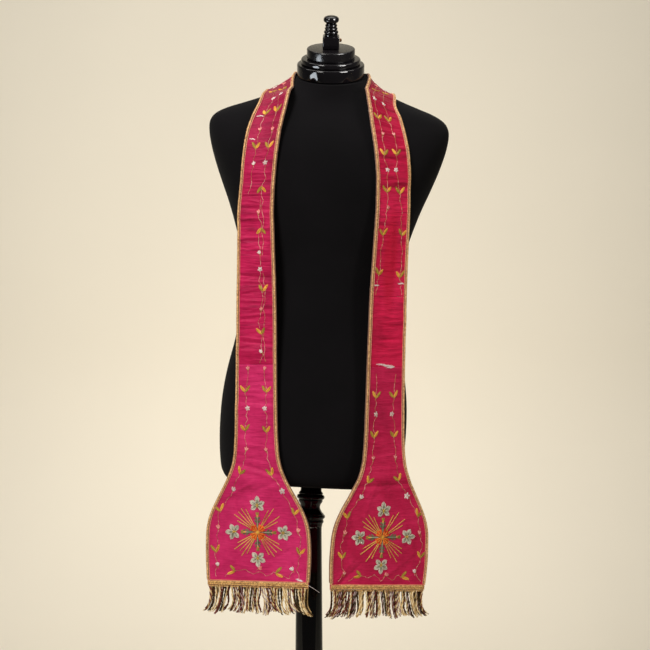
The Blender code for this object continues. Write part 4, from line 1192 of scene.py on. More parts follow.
# The bands above the ends. Columns: kind, distance from the hem, across, turn in degrees, colour
LEFT_BAND = [
    ("bud", 229, 18, -10, "pink"), ("bud", 229, -18, 10, "pink"), ("leaves", 262, 19.6, 0, 0),
    ("leaves", 260, -18, 0, 1), ("blossom", 301, 14.4, 0, "white"),
    ("blossom", 301, -15.8, 0, "white"), ("leaves", 328, 18.7, 4, 0), ("leaves", 328, -17.8, -4, 1),
    ("bud", 366, 14.4, 6, "pink"), ("bud", 366, -15.0, -6, "pink"), ("bud", 395, -10.8, 40, "white"),
    ("leaves", 426, -9.4, 6, 0), ("bud", 466, -9.4, 8, "pink"), ("leaves", 498, -12, 2, 1),
    ("blossom", 536, -7.4, 20, "white"), ("bud", 562, -7.8, 30, "white"),
    ("leaves", 606, -10.8, 180, 1), ("bud", 630, -6.6, 4, "pink"), ("leaves", 676, -9, 180, 0),
    ("bud", 713, 9, 12, "white"), ("blossom", 716, -11.4, 0, "white"), ("leaves", 741, 9, 0, 1),
    ("leaves", 741, -13.6, 0, 1), ("bud", 775, 8, 6, "pink"), ("bud", 772, -14.7, -4, "pink"),
    ("leaves", 808, 8, 0, 0), ("leaves", 808, -12.6, 0, 0), ("blossom", 845, 3.5, 0, "white"),
    ("blossom", 850, -10.6, 0, "white"),
]
RIGHT_BAND = [
    ("bud", 222, -21.6, 6, "pink"), ("bud", 222, 21.4, -6, "pink"), ("leaves", 258, -20.5, 0, 0),
    ("leaves", 258, 17.8, 0, 0), ("blossom", 298, -17.4, 0, "white"),
    ("blossom", 298, 13.2, 0, "white"), ("leaves", 325, -18, 0, 1), ("leaves", 325, 16, 0, 0),
    ("leaves", 533, -20.5, 0, 0), ("leaves", 529, 19.7, 0, 1), ("leaves", 600, -17, -4, 0),
    ("leaves", 600, 19, 4, 0), ("bud", 645, -10.4, 10, "pink"), ("leaves", 673, -12.8, 0, 0),
    ("leaves", 671, 12, 0, 0), ("blossom", 711, -11, 0, "white"), ("blossom", 711, 4.6, 20, "white"),
    ("leaves", 735, -14.7, 0, 1), ("leaves", 737, 8.3, 0, 1), ("bud", 771, -12, 10, "pink"),
    ("bud", 773, 10, -10, "pink"), ("leaves", 799, -15.7, 0, 0), ("leaves", 800, 5.4, 0, 0),
    ("blossom", 838, -15, 0, "white"), ("blossom", 838, 4.4, 0, "white"),
]

# Stems, as rows of (distance from the hem, across)
LEFT_STEMS = [
    [(14, 76), (32, 73), (55, 75), (78, 72), (95, 71), (124, 67), (142, 55), (158, 44)],
    [(14, -74), (28, -68), (55, -74), (78, -76), (95, -72), (122, -66), (142, -56), (160, -46)],
    [(14, 60), (20, 50), (25, 38), (27, 22), (20, 8), (24, -4), (17, -16), (24, -28), (20, -42),
     (14, -54), (26, -62)],
    [(160, 44), (176, 36), (188, 30), (210, 22), (229, 18), (262, 20), (282, 16), (301, 15),
     (328, 18.7), (366, 14)],
    [(160, -46), (176, -36), (187, -28), (210, -22), (229, -19), (260, -18), (282, -20),
     (301, -16), (328, -18), (368, -15)],
    [(378, -8), (395, -11), (426, -9), (448, -5), (466, -9), (498, -12), (516, -6), (536, -7),
     (562, -8), (590, -5), (606, -11), (630, -7), (655, -9)],
    [(380, -17), (410, -13), (438, -15), (470, -14), (505, -16), (530, -12)],
    [(560, -13), (590, -12), (620, -14), (652, -12), (676, -9)],
    [(664, 14), (680, 12), (713, 9), (741, 9), (775, 8), (808, 8), (845, 4), (880, 6)],
    [(664, -8), (690, -14), (716, -12), (741, -13.6), (772, -15), (808, -12.6), (850, -11),
     (880, -10)],
]
RIGHT_STEMS = [
    [(14, -74), (30, -66), (53, -71), (78, -74), (95, -69), (122, -65), (142, -54), (156, -43)],
    [(14, 80), (28, 71), (53, 79), (78, 80), (95, 75), (122, 70), (142, 58), (158, 47)],
    [(14, -54), (20, -46), (25, -34), (20, -20), (26, -8), (15, 4), (24, 14), (16, 26), (24, 38),
     (20, 50), (14, 60)],
    [(156, -43), (170, -37), (183, -31), (204, -25), (222, -22), (258, -20), (280, -21),
     (298, -18), (325, -18), (366, -19)],
    [(158, 47), (172, 37), (184, 28), (204, 24), (222, 22), (258, 18), (280, 18), (298, 14),
     (325, 16), (366, 19)],
    [(500, -24), (518, -23), (533, -20), (562, -19), (600, -17), (622, -15), (645, -11),
     (673, -13), (711, -11), (735, -15), (771, -12), (799, -16), (838, -15), (880, -12)],
    [(500, 24), (519, 23), (529, 20), (562, 21), (600, 19), (622, 17), (645, 15), (671, 12),
     (711, 5), (737, 8), (773, 10), (800, 5), (838, 4), (880, 8)],
]


# The cross of each end: its heart's distance from the hem and across, and how far each arm reaches
LEFT_CROSS, LEFT_ARMS = (91, 0), (46, 42, 44, 45)
RIGHT_CROSS, RIGHT_ARMS = (89, 3), (45, 47, 47, 43)

# The two vines round the neck: where they start, how far aside they run, the pitch of their leaves,
# how far past the leaves a blossom sits, and the room left at the nape
NECK_VINE_FROM = 880.0
NECK_VINE_ASIDE = 10.0
NECK_VINE_PITCH = 58
BLOSSOM_AFTER = 30
NAPE_ROOM = 8


def embroider(half, band, end, stems, cross_at, cross_reach, seed):
    """All the stitches of one half, but for its torn places."""
    work = Work(half, seed)
    work.cross(*cross_at, cross_reach)
    motifs(work, end, leaf=13.5, open_by=30, bud=7.6, blossom=5.4, swing=0, olive_first=1)
    motifs(work, band, leaf=13.4, open_by=34, bud=6.4, blossom=4.4, swing=12, olive_first=0)
    for number, rows in enumerate(stems):
        vine(work, rows, 1 if number % 2 else -1)
    # Over the shoulder and round the neck the columns go on as they do on the front
    neck = (NAPE if half == "left" else LENGTH - NAPE) * 1000 - NAPE_ROOM
    for side in (-1, 1):
        hem, across = NECK_VINE_FROM, side * NECK_VINE_ASIDE
        rows = [(hem, across)]
        while hem < neck - BLOSSOM_AFTER:
            work.leaves(hem, across, 0, 13.0)
            if hem + BLOSSOM_AFTER < neck - NAPE_ROOM:
                work.blossom(hem + BLOSSOM_AFTER, across, "white" if side > 0 else "pink", 12, 5.0)
            hem += NECK_VINE_PITCH
            rows.append((min(hem, neck), across))
        vine(work, rows, side)
    return work


def frayed(work, rows):
    """Torn places: short pale threads of the backing that lie bare across a split in the silk."""
    for hem, low, high, lean, count, reach in rows:
        for k in range(count):
            v = low + (high - low) * (k + 0.5) / count
            edge = math.sin(math.pi * (k + 0.5) / count) ** 0.5
            middle = hem + lean * (v - low) + work.draw.uniform(-0.5, 0.5) * reach * edge
            length = work.draw.uniform(1.4, 3.6)
            slope = work.draw.gauss(0, 0.3)
            lean_by = slope * length
            ends = [(middle - lean_by, v - length), (middle, v), (middle + lean_by, v + length)]
            colour = work.draw.choice(("white", "bare", "bare"))
            work.line(colour, ends, [0.10, 0.30, 0.15], work.draw.uniform(0.8, 1.2))


# Columns: distance from the hem, from and to across, lean, how many threads, half height of the split
LEFT_TEARS = [
    (10.0, -77.0, -69.0, 0.45, 26, 2.0), (807.0, 12.0, 21.5, 0.0, 14, 0.5),
    (759.0, 15.0, 21.0, 0.1, 10, 0.5),
]
RIGHT_TEARS = [
    (383.0, -17.0, -4.0, -0.12, 22, 1.4), (380.2, -4.0, 13.0, -0.10, 52, 3.2),
    (377.0, 2.0, 13.5, 0.0, 26, 1.6), (519.0, 19.0, 26.0, 0.05, 22, 1.8),
    (516.0, -27.0, -20.5, -0.05, 20, 1.8),
]


def embroidery():
    """All the work of both halves, one mesh for each colour of floss and each half."""
    left = embroider("left", LEFT_BAND, LEFT_END, LEFT_STEMS, LEFT_CROSS, LEFT_ARMS, seed=5)
    right = embroider("right", RIGHT_BAND, RIGHT_END, RIGHT_STEMS, RIGHT_CROSS, RIGHT_ARMS, seed=6)
    frayed(left, LEFT_TEARS)
    frayed(right, RIGHT_TEARS)
    for work in (left, right):
        for colour, stitches in work.stitches.items():
            if not stitches:
                continue
            lengths = [len(points) for points, _, _ in stitches]
            flat = np.concatenate([points for points, _, _ in stitches]) / 1000
            lifts = np.concatenate([np.broadcast_to(lift, len(p)) for p, lift, _ in stitches]) / 1000
            s = flat[:, 0] if work.half == "left" else LENGTH - flat[:, 0]
            placed = face(s, flat[:, 1], lifts)
            lines, first = [], 0
            for count, (_, _, thickness) in zip(lengths, stitches):
                lines.append((placed[first : first + count], thickness))
                first += count
            piece = threads(f"{work.half}_{colour}_embroidery", lines, STITCH_RADIUS, FLOSS[colour], 3)
            finished(piece, "braid" if colour == "gilt" else "silk")


# Braid


# How far an edge plait stands out past the edge, and how much narrower its strands' middles swing
PLAIT_SPILL = 0.0007
PLAIT_INSET = 0.0013
EDGE_STRAND_RADIUS = 0.00070
# A pale stitch over the orange cord. Rows: along, aside and lift of its three points
CORD_STITCH = np.array([(-0.0011, 0.0, 0.0011), (-0.0005, 0.0, 0.0005), (0.0009, 0.0013, 0.0009)])
CORD_STITCH_MARGIN = 0.002
# The hem's two plaits. Columns: distance from the hem, pitch
HEM_PLAITS = ((0.0017, 0.0052), (0.0047, 0.0066))
HEM_PLAIT_WIDTH = 0.0020
HEM_STRAND_RADIUS = 0.00080
HEM_SIDE_INSET = 0.0008
# The hem's two cords. Columns: name, distance from the hem, lift, radius, material
HEM_CORDS = (
    ("tan", 0.0067, 0.0007, 0.00082, BRAID),
    ("orange", 0.0083, 0.0006, CORD_RADIUS, FLOSS["core"]),
)


def braid_lines(places, across, width, pitch, strands=3):
    """How far each strand of a flat plait along a line swings aside and rises."""
    run = np.concatenate([[0], np.cumsum(np.hypot(np.diff(places), np.diff(across)))])
    lines = []
    for k in range(strands):
        angle = 2 * math.pi * (run / pitch + k / strands)
        lines.append((width / 2 * np.sin(angle), PLAIT_RISE * (1 + 0.55 * np.sin(2 * angle))))
    return lines


def ribbon_piece(name, along, across, lifts):
    """A thin brown ribbon under a plait, through rows of places and their lifts."""
    mesh = grid_mesh(name, face(along, across, lifts), np.stack([across, along], axis=-1))
    ribbon = new_object(name, mesh, RIBBON)
    give_wall(ribbon, RIBBON_THICKNESS, -1.0 if faces_backward(mesh) else 1.0)
    return finished(ribbon, "braid")


def edge_braid(name, start, end, side, node):
    """A plait on a ribbon that wraps the edge, and beside it an orange cord crossed by pale stitches."""
    s = np.linspace(start, end, round((end - start) / PLAIT_STEP))
    half = half_width(s)
    middle = side * (half - PLAIT_WIDTH / 2 + PLAIT_SPILL)
    lines = []
    for aside, rise in braid_lines(s, middle, PLAIT_WIDTH - PLAIT_INSET, PLAIT_PITCH):
        lines.append((face(s, middle + aside, rise), 1.0))
    plait = threads(name + "_plait", lines, EDGE_STRAND_RADIUS, BRAID, 5)
    rows, wide = s[::4], half[::4]
    # Columns: how far inside the edge, and lift: over the face, round the edge and down it
    shape = [(PLAIT_WIDTH - 0.0002, GAP), (0.0016, GAP), (-0.0005, GAP)]
    shape += [(-0.0009, -0.0006), (-0.0009, -CLOTH)]
    across = np.stack([side * (wide - inset) for inset, _ in shape], axis=1)
    lifts = np.array([lift for _, lift in shape])
    if side < 0:
        across, lifts = across[:, ::-1], lifts[::-1]
    ribbon_piece(name + "_ribbon", np.repeat(rows[:, None], len(shape), axis=1), across, lifts)
    core = face(s[::2], side * (half - CORD_INSET)[::2], CORD_RADIUS)
    cord = threads(name + "_cord", [(core, 1.0)], CORD_RADIUS, FLOSS["core"], 5)
    dashes = []
    ahead, aside, rise = CORD_STITCH
    for place in np.arange(start + CORD_STITCH_MARGIN, end - CORD_STITCH_MARGIN, CORD_STITCH_PITCH):
        along = place + ahead
        wide = half_width(along) - CORD_INSET + aside
        dashes.append((face(along, side * wide, rise), 1.0))
    pale = threads(name + "_stitches", dashes, STITCH_RADIUS, FLOSS["pale"], 4)
    finished(plait, "braid", node)
    for piece in (cord, pale):
        finished(piece, "braid")


def hem_braid(name, hem, inward, node):
    """The braid across a spade end: two plaits on a ribbon, an orange cord over them, a tan one on top."""
    half = float(half_width(np.array([hem]))[0]) + BRAID_OVERHANG
    count = round(2 * half / PLAIT_STEP)
    v = np.linspace(-half + HEM_SIDE_INSET, half - HEM_SIDE_INSET, count)
    lines = []
    for place, pitch in HEM_PLAITS:
        s = np.full(count, hem + inward * place)
        for aside, rise in braid_lines(v, s, HEM_PLAIT_WIDTH, pitch):
            lines.append((face(s + inward * aside, v, rise), 0.85))
    plait = threads(name + "_plait", lines, HEM_STRAND_RADIUS, HEM_GOLD, 5)
    rows = hem + inward * np.array([0.0002, 0.0030, HEM_BRAID_HEIGHT - 0.0026])
    if inward < 0:
        rows = rows[::-1]
    along = np.repeat(rows[:, None], len(v[::4]), axis=1)
    ribbon_piece(name + "_ribbon", along, np.repeat(v[None, ::4], 3, axis=0), GAP)
    cords = []
    for tint, place, lift, radius, finish in HEM_CORDS:
        line = face(np.full(count, hem + inward * place), v, lift)
        cords.append(threads(f"{name}_{tint}_cord", [(line, 1.0)], radius, finish, 5))
    finished(plait, "braid", node)
    for cord in cords:
        finished(cord, "braid")


def make_braids():
    above = HEM_BRAID_HEIGHT + GAP
    for side, edge in ((-1, "inner"), (1, "outer")):
        edge_braid(f"left_{edge}", above, NAPE - GAP / 2, side, f"left_{edge}_braid")
        edge_braid(f"right_{edge}", NAPE + GAP / 2, LENGTH - above, side, f"right_{edge}_braid")
    hem_braid("left_hem", 0.0, 1, "left_hem_braid")
    hem_braid("right_hem", LENGTH, -1, "right_hem_braid")


# Fringe

CORD_COLOURS = {
    key: thread_material(name, *rest)
    for key, name, *rest in (
        ("cream", "cream_fringe", (0.56, 0.40, 0.19), (0.98, 0.80, 0.50), 0.0, 0.7),
        ("gold", "gold_fringe", (0.34, 0.20, 0.06), (0.70, 0.47, 0.20), 0.0, 0.7),
        ("maroon", "maroon_fringe", (0.060, 0.008, 0.006), (0.20, 0.040, 0.030), 0.0, 0.8),
        ("dark", "black_brown_fringe", (0.014, 0.008, 0.002), (0.060, 0.034, 0.012), 0.0, 0.8),
        ("lilac", "lilac_fringe", (0.24, 0.15, 0.14), (0.52, 0.38, 0.36), 0.0, 0.7),
    )
}

# How the twisted cords of the fringe are coloured, in the order in which they hang
CORD_ORDER = [
    ("dark", "dark"), ("gold", "cream"), ("maroon", "maroon"), ("cream", "gold"), ("dark", "gold"),
    ("cream", "cream"), ("maroon", "lilac"), ("dark", "dark"), ("maroon", "gold"),
    ("maroon", "cream"), ("lilac", "cream"), ("dark", "maroon"), ("cream", "gold"),
    ("maroon", "dark"), ("gold", "cream"), ("dark", "lilac"),
]


# How far the cords stand aside at the foot, gather in groups and kick out below, and how wide
# a parting is, as a share of the hem, and how far it pushes the cords apart
CORD_SPLAY = 0.0060
CORD_BUNCH = 0.0024
CORD_KICK = 0.0072
PARTING_SHARE = 0.045
PARTING_PUSH = 0.0042


def fringe_cords(half, hem, outward, node, partings, seed):
    """Cords of two plies twisted together, hanging in small groups from a looped heading."""
    draw = random.Random(seed)
    reach = float(half_width(np.array([hem]))[0])
    plies = {colour: [] for colour in CORD_COLOURS}
    low = hem + outward * (GAP + 0.45 * FRINGE_HEADING)
    ends = np.array([[-reach + 0.001], [reach - 0.001]])
    row = face(np.full((2, 1), low), ends, 0.0)[:, 0]
    across = unit(row[1] - row[0])
    out = unit(np.cross((0, 0, 1), across) * np.array([1, 1, 0]))
    if out[1] > 0:
        out = -out
    steps = np.linspace(0, 1, FRINGE_STEPS)
    for k in range(FRINGE_CORDS):
        share = (k + 0.5) / FRINGE_CORDS
        v = (2 * share - 1) * (reach - 0.0012) + draw.uniform(-0.0004, 0.0004)
        top = face(np.array([low - outward * 0.0012]), np.array([v]), -0.001)[0]
        length = (FRINGE_DROP + 0.0020) * (1 + 0.05 * math.sin(31.0 * share) + draw.uniform(-0.06, 0.045))
        splay = CORD_SPLAY * (2 * share - 1)
        bunch = CORD_BUNCH * math.sin(23.0 * share + 1.0) + draw.gauss(0, 0.0009)
        for middle in partings:
            away = (share - middle) / PARTING_SHARE
            bunch += PARTING_PUSH * math.tanh(5 * away) * math.exp(-(away**2))
        wave, beat = draw.gauss(0, 0.0009), draw.uniform(0.6, 1.3)
        depth = draw.uniform(-0.0014, 0.0014)
        kick = draw.gauss(0.0, 0.0016) + CORD_KICK * math.tanh(3.5 * (share - 0.5))
        aside = splay * steps**2 + bunch * np.sin(math.pi * steps * 0.75)
        aside = aside + wave * np.sin(2 * math.pi * beat * steps)
        aside = aside + kick * (np.clip(steps - KICK_FROM, 0, 1) / (1 - KICK_FROM)) ** 2
        fore = depth * np.sin(math.pi * steps * 0.6) + 0.0012 * np.sin(3 * steps + k)
        centre = top + np.outer(aside, across) + np.outer(fore, out) + np.outer(-length * steps, (0, 0, 1))
        colours = CORD_ORDER[(k + (draw.random() < 0.2)) % len(CORD_ORDER)]
        turns = length / PLY_TWIST
        start = draw.uniform(0, 6.28)
        behind = top - 0.0019 * out + across * draw.uniform(-0.0012, 0.0012)
        drift = np.outer(aside * draw.uniform(0.5, 1.3), across)
        drift = drift + np.outer(-length * 0.94 * steps, (0, 0, 1))
        shade = draw.choice(("gold", "maroon", "dark", "maroon", "dark"))
        plies[shade].append(((behind + drift)[::2], 1.3 - 0.4 * steps[::2]))
        for ply, colour in enumerate(colours):
            angle = start + math.pi * ply + 2 * math.pi * turns * steps
            open_up = PLY_OPEN * (1 + 0.9 * np.clip(steps - 0.86, 0, 1) / 0.14)
            spun = centre + np.outer(open_up * np.cos(angle), across)
            spun = spun + np.outer(open_up * np.sin(angle), out)
            thickness = 1.0 - 0.35 * np.clip(steps - 0.9, 0, 1) / 0.1
            plies[colour].append((spun, thickness))
    for number, (colour, lines) in enumerate(plies.items()):
        piece = threads(f"{half}_{colour}_fringe", lines, PLY_RADIUS, CORD_COLOURS[colour], 5)
        finished(piece, "fringe", *([] if number else [node]))
    fringe_heading(half, hem, outward, reach)


def fringe_heading(half, hem, outward, reach):
    """A row of small gold loops from which the cords hang, over a narrow band."""
    loops = []
    for k in range(FRINGE_LOOPS):
        v = (2 * (k + 0.5) / FRINGE_LOOPS - 1) * (reach - 0.0016)
        turn = np.linspace(-0.4, math.pi + 0.4, 9)
        s = hem + outward * (GAP + 0.0006 + 0.0015 * np.sin(turn).clip(0))
        loops.append((face(s, v + 0.0019 * np.cos(turn), 0.0002), 1.0))
    for drop in (0.0006, 0.0014):
        v = np.linspace(-reach + 0.0006, reach - 0.0006, 90)
        weave = 0.0003 * np.sin(np.arange(90) * math.pi / 2)
        loops.append((face(np.full(90, hem + outward * (GAP + drop)), v, -0.0009 + weave), 1.1))
    finished(threads(f"{half}_fringe_heading", loops, LOOP_RADIUS, HEM_GOLD, 5), "fringe")


def loose_thread():
    """One white thread that has come loose at the left end's inner bottom corner."""
    start = face(0.004, -0.0882, 0.0006)
    # Columns: to the right, to the back, up from where it leaves the braid
    drift = [(0, 0, 0), (0.004, -0.002, -0.002), (0.010, -0.003, -0.0055), (0.0195, -0.001, -0.0125)]
    line = smooth(range(4), start + np.array(drift), np.linspace(0, 3, 16))
    finished(threads("loose_thread", [(line, 1.0)], 0.00028, FLOSS["white"], 4), "silk")


# Dress form and stand


def turned(name, profile, place, finish, steps=72):
    """A turned solid from (radius, height) points, from its top centre down to its bottom centre."""
    mesh = bmesh.new()
    angles = [2 * math.pi * k / steps for k in range(steps)]
    round_way = [(math.cos(a), math.sin(a)) for a in angles]
    rings = []
    for radius, height in profile:
        places = [(radius * c, radius * s, height) for c, s in round_way] if radius else [(0, 0, height)]
        rings.append([mesh.verts.new(place) for place in places])
    for upper, lower in zip(rings[:-1], rings[1:]):
        for k in range(steps):
            n = (k + 1) % steps
            corners = [upper[k % len(upper)], lower[k % len(lower)]]
            corners += [lower[n % len(lower)], upper[n % len(upper)]]
            corners = list(dict.fromkeys(corners))
            if len(corners) > 2:
                mesh.faces.new(corners)
    bmesh.ops.recalc_face_normals(mesh, faces=mesh.faces)
    shape = bpy.data.meshes.new(name)
    mesh.to_mesh(shape)
    mesh.free()
    shape.transform(place)
    shape.shade_smooth()
    shape.set_sharp_from_angle(angle=math.radians(35))
    return new_object(name, shape, finish)


def rounded(radius, low, high, soft, steps=6):
    """Profile points of a disc's rim with soft edges, from its top to its bottom."""
    arc = [math.pi / 2 * (1 - k / steps) for k in range(steps + 1)]
    top = [(radius - soft + soft * math.cos(a), high - soft + soft * math.sin(a)) for a in arc]
    bottom = [(radius - soft + soft * math.cos(a), low + soft - soft * math.sin(a)) for a in reversed(arc)]
    return top + bottom


def bead(radius, depth, low, high, steps=12):
    """Profile points of a round bead that stands out by depth, from its top to its bottom."""
    middle, half = (low + high) / 2, (high - low) / 2
    angles = [math.pi / 2 - math.pi * k / steps for k in range(steps + 1)]
    return [(radius - depth + depth * math.cos(a), middle + half * math.sin(a)) for a in angles]


def softly(profile, steps=5):
    """A smooth line through profile points."""
    last = len(profile) - 1
    places = np.linspace(0, last, steps * last + 1)
    return [tuple(point) for point in smooth(range(last + 1), profile, places)]


def neck_frame():
    """The frame of the neck's top face: its centre, tilted forwards and turned back to level."""
    forward = math.tan(math.radians(NECK_TILT))
    level = math.tan(math.radians(NECK_TILT * NECK_LEVEL))
    centre = Matrix.Translation((CAP_ACROSS, NECK_TOP_DEPTH, NECK_TOP_HEIGHT + CAP_ACROSS * level))
    turn = Vector((0, 0, 1)).rotation_difference(Vector((-level, -forward, 1)))
    return TORSO_FRAME @ centre @ turn.to_matrix().to_4x4()


def neck_cap():
    band_top, step_top = 0.0225, 0.0320
    profile = [(0, CAP_HEIGHT)]
    profile += rounded(0.042, step_top, CAP_HEIGHT, 0.0022)[:-1] + [(0.042, step_top)]
    profile += rounded(0.052, band_top, step_top, 0.0030)[:-1] + [(0.052, band_top)]
    profile += rounded(CAP_RADIUS, 0, band_top, 0.0030) + [(0, 0)]
    place = neck_frame() @ Matrix.Translation((0, 0, GAP))
    axis = place.to_3x3() @ Vector((0, 0, 1))
    scuffed = lacquer_material("scuffed_lacquer", (axis, axis.dot(place.translation) + step_top))
    cap = turned("neck_cap_turned", profile, place, scuffed, 96)
    return finished(cap, "lacquer", "neck_cap")


def finial():
    base = neck_frame() @ Matrix.Translation((0, 0, CAP_HEIGHT + 2 * GAP))
    shape = bmesh.new()
    bmesh.ops.create_cube(shape, size=1.0)
    bmesh.ops.scale(shape, vec=(FINIAL_BLOCK, FINIAL_BLOCK, FINIAL_BLOCK_HEIGHT), verts=shape.verts)
    bmesh.ops.translate(shape, vec=(0, 0, FINIAL_BLOCK_HEIGHT / 2), verts=shape.verts)
    bmesh.ops.bevel(shape, geom=shape.edges[:], offset=0.0022, segments=5, profile=0.5, affect="EDGES")
    mesh = bpy.data.meshes.new("finial_block_lacquer")
    shape.to_mesh(mesh)
    shape.free()
    mesh.transform(base)
    mesh.shade_smooth()
    block = finished(new_object("finial_block_lacquer", mesh, LACQUER), "lacquer", "finial_block")
    profile = [(0, KNOB_HEIGHT)]
    # Columns: radius, and depth below the knob's top
    head = [(0.0040, 0.0001), (0.0075, 0.0005), (0.0118, 0.0027), (0.0134, 0.0060)]
    head += [(0.0128, 0.0095), (0.0100, 0.0122), (0.0085, 0.0137)]
    profile += softly([(radius, KNOB_HEIGHT - depth) for radius, depth in head])
    profile += bead(0.0105, 0.0020, 0.0155, 0.0203)
    profile += bead(0.0112, 0.0024, 0.0098, 0.0150)
    profile += bead(0.0126, 0.0030, 0.0036, 0.0093)
    profile += [(0.0118, 0.0028), (0.0118, 0.0), (0, 0.0)]
    on_block = base @ Matrix.Translation((0, 0, FINIAL_BLOCK_HEIGHT + GAP))
    knob = turned("finial_knob_turned", profile, on_block, LACQUER)
    finished(knob, "lacquer", "finial_knob")
    side = Matrix.Translation((FINIAL_BLOCK / 2 + GAP, 0, FINIAL_BLOCK_HEIGHT - 0.0075))
    head = [(0, 0.0040)] + softly([(0.0012, 0.0039), (0.0022, 0.0034), (0.0030, 0.0024), (0.0032, 0.0014)])
    head += [(0.0032, 0.0), (0, 0.0)]
    side = base @ side @ Matrix.Rotation(math.radians(90), 4, "Y")
    screw = turned("finial_screw_brass", head, side, BRASS, 32)
    finished(screw, "brass", "finial_screw")
    return block, knob


def post_and_foot():
    profile = [(0, COLLAR_PLUG), (0.0179, COLLAR_PLUG), (0.0185, -0.0040), (0.0215, -0.0082)]
    profile += bead(0.0244, 0.0040, -0.0190, -0.0105)
    profile += [(0.0212, -0.0200), (0.0212, -0.0225)]
    waist = [(0.0184, -0.0268), (0.0174, -0.0310), (0.0180, -0.0350), (0.0208, -0.0400)]
    profile += softly([*waist, (0.0248, -0.0440)])
    profile += bead(0.0271, 0.0024, -0.0515, -0.0450)
    profile += [(0.0244, -0.0530)] + bead(0.0250, 0.0016, -0.0600, -0.0540)
    profile += [(0.0230, -0.0620), (0.0226, -COLLAR_LENGTH), (0, -COLLAR_LENGTH)]
    place = TORSO_FRAME @ Matrix.Translation((COLLAR_ACROSS, 0, -COLLAR_PLUG - GAP))
    finished(turned("post_collar_turned", profile, place, LACQUER), "lacquer", "post_collar")
    top = (TORSO_FRAME @ Vector((0, 0, -COLLAR_PLUG - COLLAR_LENGTH - 2 * GAP))).z - 0.0014
    profile = [(0, top), (POST_TOP_RADIUS, top), (POST_TOP_RADIUS, top - 0.010)]
    profile += [(POST_RADIUS, top - 0.230), (POST_RADIUS, FOOT_HEIGHT + 0.070)]
    profile += bead(0.0300, 0.0060, FOOT_HEIGHT + 0.048, FOOT_HEIGHT + 0.066)
    # Columns: radius, and height above the foot
    flare = ((0.0268, 0.044), (0.0270, 0.036), (0.0300, 0.022), (0.0380, 0.008))
    profile += softly([(radius, FOOT_HEIGHT + height) for radius, height in flare])
    profile += [(0.0400, FOOT_HEIGHT + 0.003), (0.0400, FOOT_HEIGHT + GAP), (0, FOOT_HEIGHT + GAP)]
    finished(turned("post_turned", profile, Matrix.Identity(4), LACQUER), "lacquer", "post")
    profile = [(0, FOOT_HEIGHT), (0.060, FOOT_HEIGHT)]
    dome = [(0.064, FOOT_HEIGHT - 0.0006), (0.070, FOOT_HEIGHT - 0.003), (0.120, 0.0235)]
    profile += softly([*dome, (0.165, 0.0185), (0.186, 0.016)])
    rim = [(0.1885, 0.0148), (FOOT_RADIUS, 0.012), (FOOT_RADIUS, 0.002)]
    profile += softly([*rim, (FOOT_RADIUS - 0.0008, 0.0004)])
    profile += [(FOOT_RADIUS - 0.002, 0), (0, 0)]
    finished(turned("foot_turned", profile, Matrix.Identity(4), LACQUER, 120), "lacquer", "foot")


# Stage


# Centre and reach of the pool of light painted on the backdrop
PAINTED_LIGHT_CENTRE = (-0.04, 2.3, 0.60)
PAINTED_LIGHT_REACH = (2.3, 2.3, 2.3)
FLOOR_SPLIT = -1.3
CAMERA_PLACE = (0.028, -3.1, 0.95525)
CAMERA_LENS = 98.1


def backdrop():
    """One sheet of cream paper: the floor, a wide bend and the wall behind, painted lighter in a round pool
    of light on the wall and darker away from it.
    """
    wall_at, bend, side, high = 2.3, 0.9, 5.0, 4.5
    turn = np.linspace(0, math.pi / 2, 24)
    line = [(FLOOR_SPLIT, 0.0)]
    line += [(wall_at - bend + bend * math.sin(a), bend - bend * math.cos(a)) for a in turn]
    line.append((wall_at, high))
    paper = Nodes("cream_paper", Roughness=0.95, Specular_IOR_Level=0.1)
    grain = paper.noise(paper.where(), 2.2, 2.0)
    # A painted pool of light: the paper is lightest about the centre on the wall and darker away from it,
    # the floor in front included
    light_pool = paper.add("ShaderNodeTexGradient", Vector=paper.around(PAINTED_LIGHT_CENTRE, PAINTED_LIGHT_REACH))
    light_pool.gradient_type = "SPHERICAL"
    tone = paper.math("ADD", light_pool.outputs["Fac"], paper.math("MULTIPLY", grain, 0.06))
    colour = paper.ramp(tone, (0.0, (0.495, 0.466, 0.396)), (0.85, (0.995, 0.922, 0.780)))
    paper.link(colour, "Base Color")
    # The front of the floor is a sheet of its own that the glossy lacquer doesn't mirror
    for name, rows in (("backdrop_paper", line), ("floor_paper", [(-5.0, 0.0), (FLOOR_SPLIT, 0.0)])):
        points = np.array([[(x, y, z - 0.0002) for x in (-side, side)] for y, z in rows])
        sheet = new_object(name, grid_mesh(name, points, points[..., :2]), paper.material)
        sheet.visible_glossy = name == "backdrop_paper"


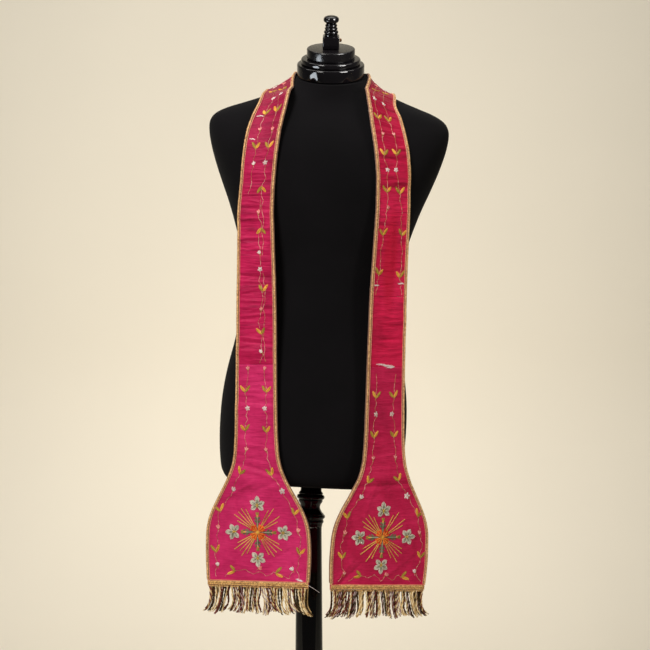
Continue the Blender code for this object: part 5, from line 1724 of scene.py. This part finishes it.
def softbox(name, place, target, size, power, colour=(1, 1, 1), only=()):
    """An area light that faces its target. With only, it lights those pieces and no others."""
    light = bpy.data.lights.new(name, "AREA")
    light.shape = "RECTANGLE"
    light.size, light.size_y = size
    light.energy = power
    light.color = colour
    made = bpy.data.objects.new(name, light)
    made.location = place
    made.rotation_euler = (Vector(target) - Vector(place)).to_track_quat("-Z", "Y").to_euler()
    made.visible_camera = False
    bpy.context.scene.collection.objects.link(made)
    if only:
        lit = bpy.data.collections.new(name + "_lit")
        for piece in only:
            lit.objects.link(piece)
        made.light_linking.receiver_collection = lit


def studio(cap):
    backdrop()
    middle = (0.03, 0.0, 0.95)
    softbox("key_above", (-1.6, -2.5, 4.0), middle, (1.0, 1.0), 125, (1.0, 0.98, 0.94))
    softbox("window_left", (-1.9, -2.6, 2.1), middle, (1.1, 1.5), 24, (1.0, 0.97, 0.92))
    softbox("strip_right", (2.3, -1.9, 1.7), middle, (0.5, 1.7), 22, (1.0, 0.95, 0.88))
    # The window and the lamp that the tilted neck cap mirrors. They light the cap and its finial only
    top = (-0.02, -0.06, 1.39)
    softbox("cap_window", (-1.12, -0.50, 0.80), top, (0.60, 0.36), 13, (0.86, 0.93, 1.0), cap)
    softbox("cap_lamp", (1.05, -1.10, 2.15), top, (0.62, 1.1), 90, (1.0, 0.98, 0.96), cap)
    softbox("wall_light", (0.0, 0.2, 3.6), (0.05, 2.3, 0.9), (3.2, 0.8), 42, (1.0, 0.97, 0.92))
    world = bpy.data.worlds.new("studio")
    world.use_nodes = True
    sky = world.node_tree.nodes["Background"].inputs
    sky["Color"].default_value = (1.0, 0.96, 0.90, 1.0)
    sky["Strength"].default_value = 0.10
    bpy.context.scene.world = world
    bpy.context.scene.view_settings.view_transform = "Standard"
    camera = bpy.data.cameras.new("camera")
    camera.sensor_width = 36
    camera.lens = CAMERA_LENS
    made = bpy.data.objects.new("camera", camera)
    made.location = CAMERA_PLACE
    made.rotation_euler = (math.radians(90), 0, 0)
    bpy.context.scene.collection.objects.link(made)
    bpy.context.scene.camera = made


finished(new_object("torso_jersey", TORSO_SHAPE, JERSEY), "jersey", "torso")
make_silk()
embroidery()
make_braids()
fringe_cords("left", 0.0, -1, "left_fringe", (0.46, 0.78), 11)
fringe_cords("right", LENGTH, 1, "right_fringe", (0.36, 0.66), 12)
loose_thread()
mirrors = [neck_cap(), *finial()]
post_and_foot()
studio(mirrors)
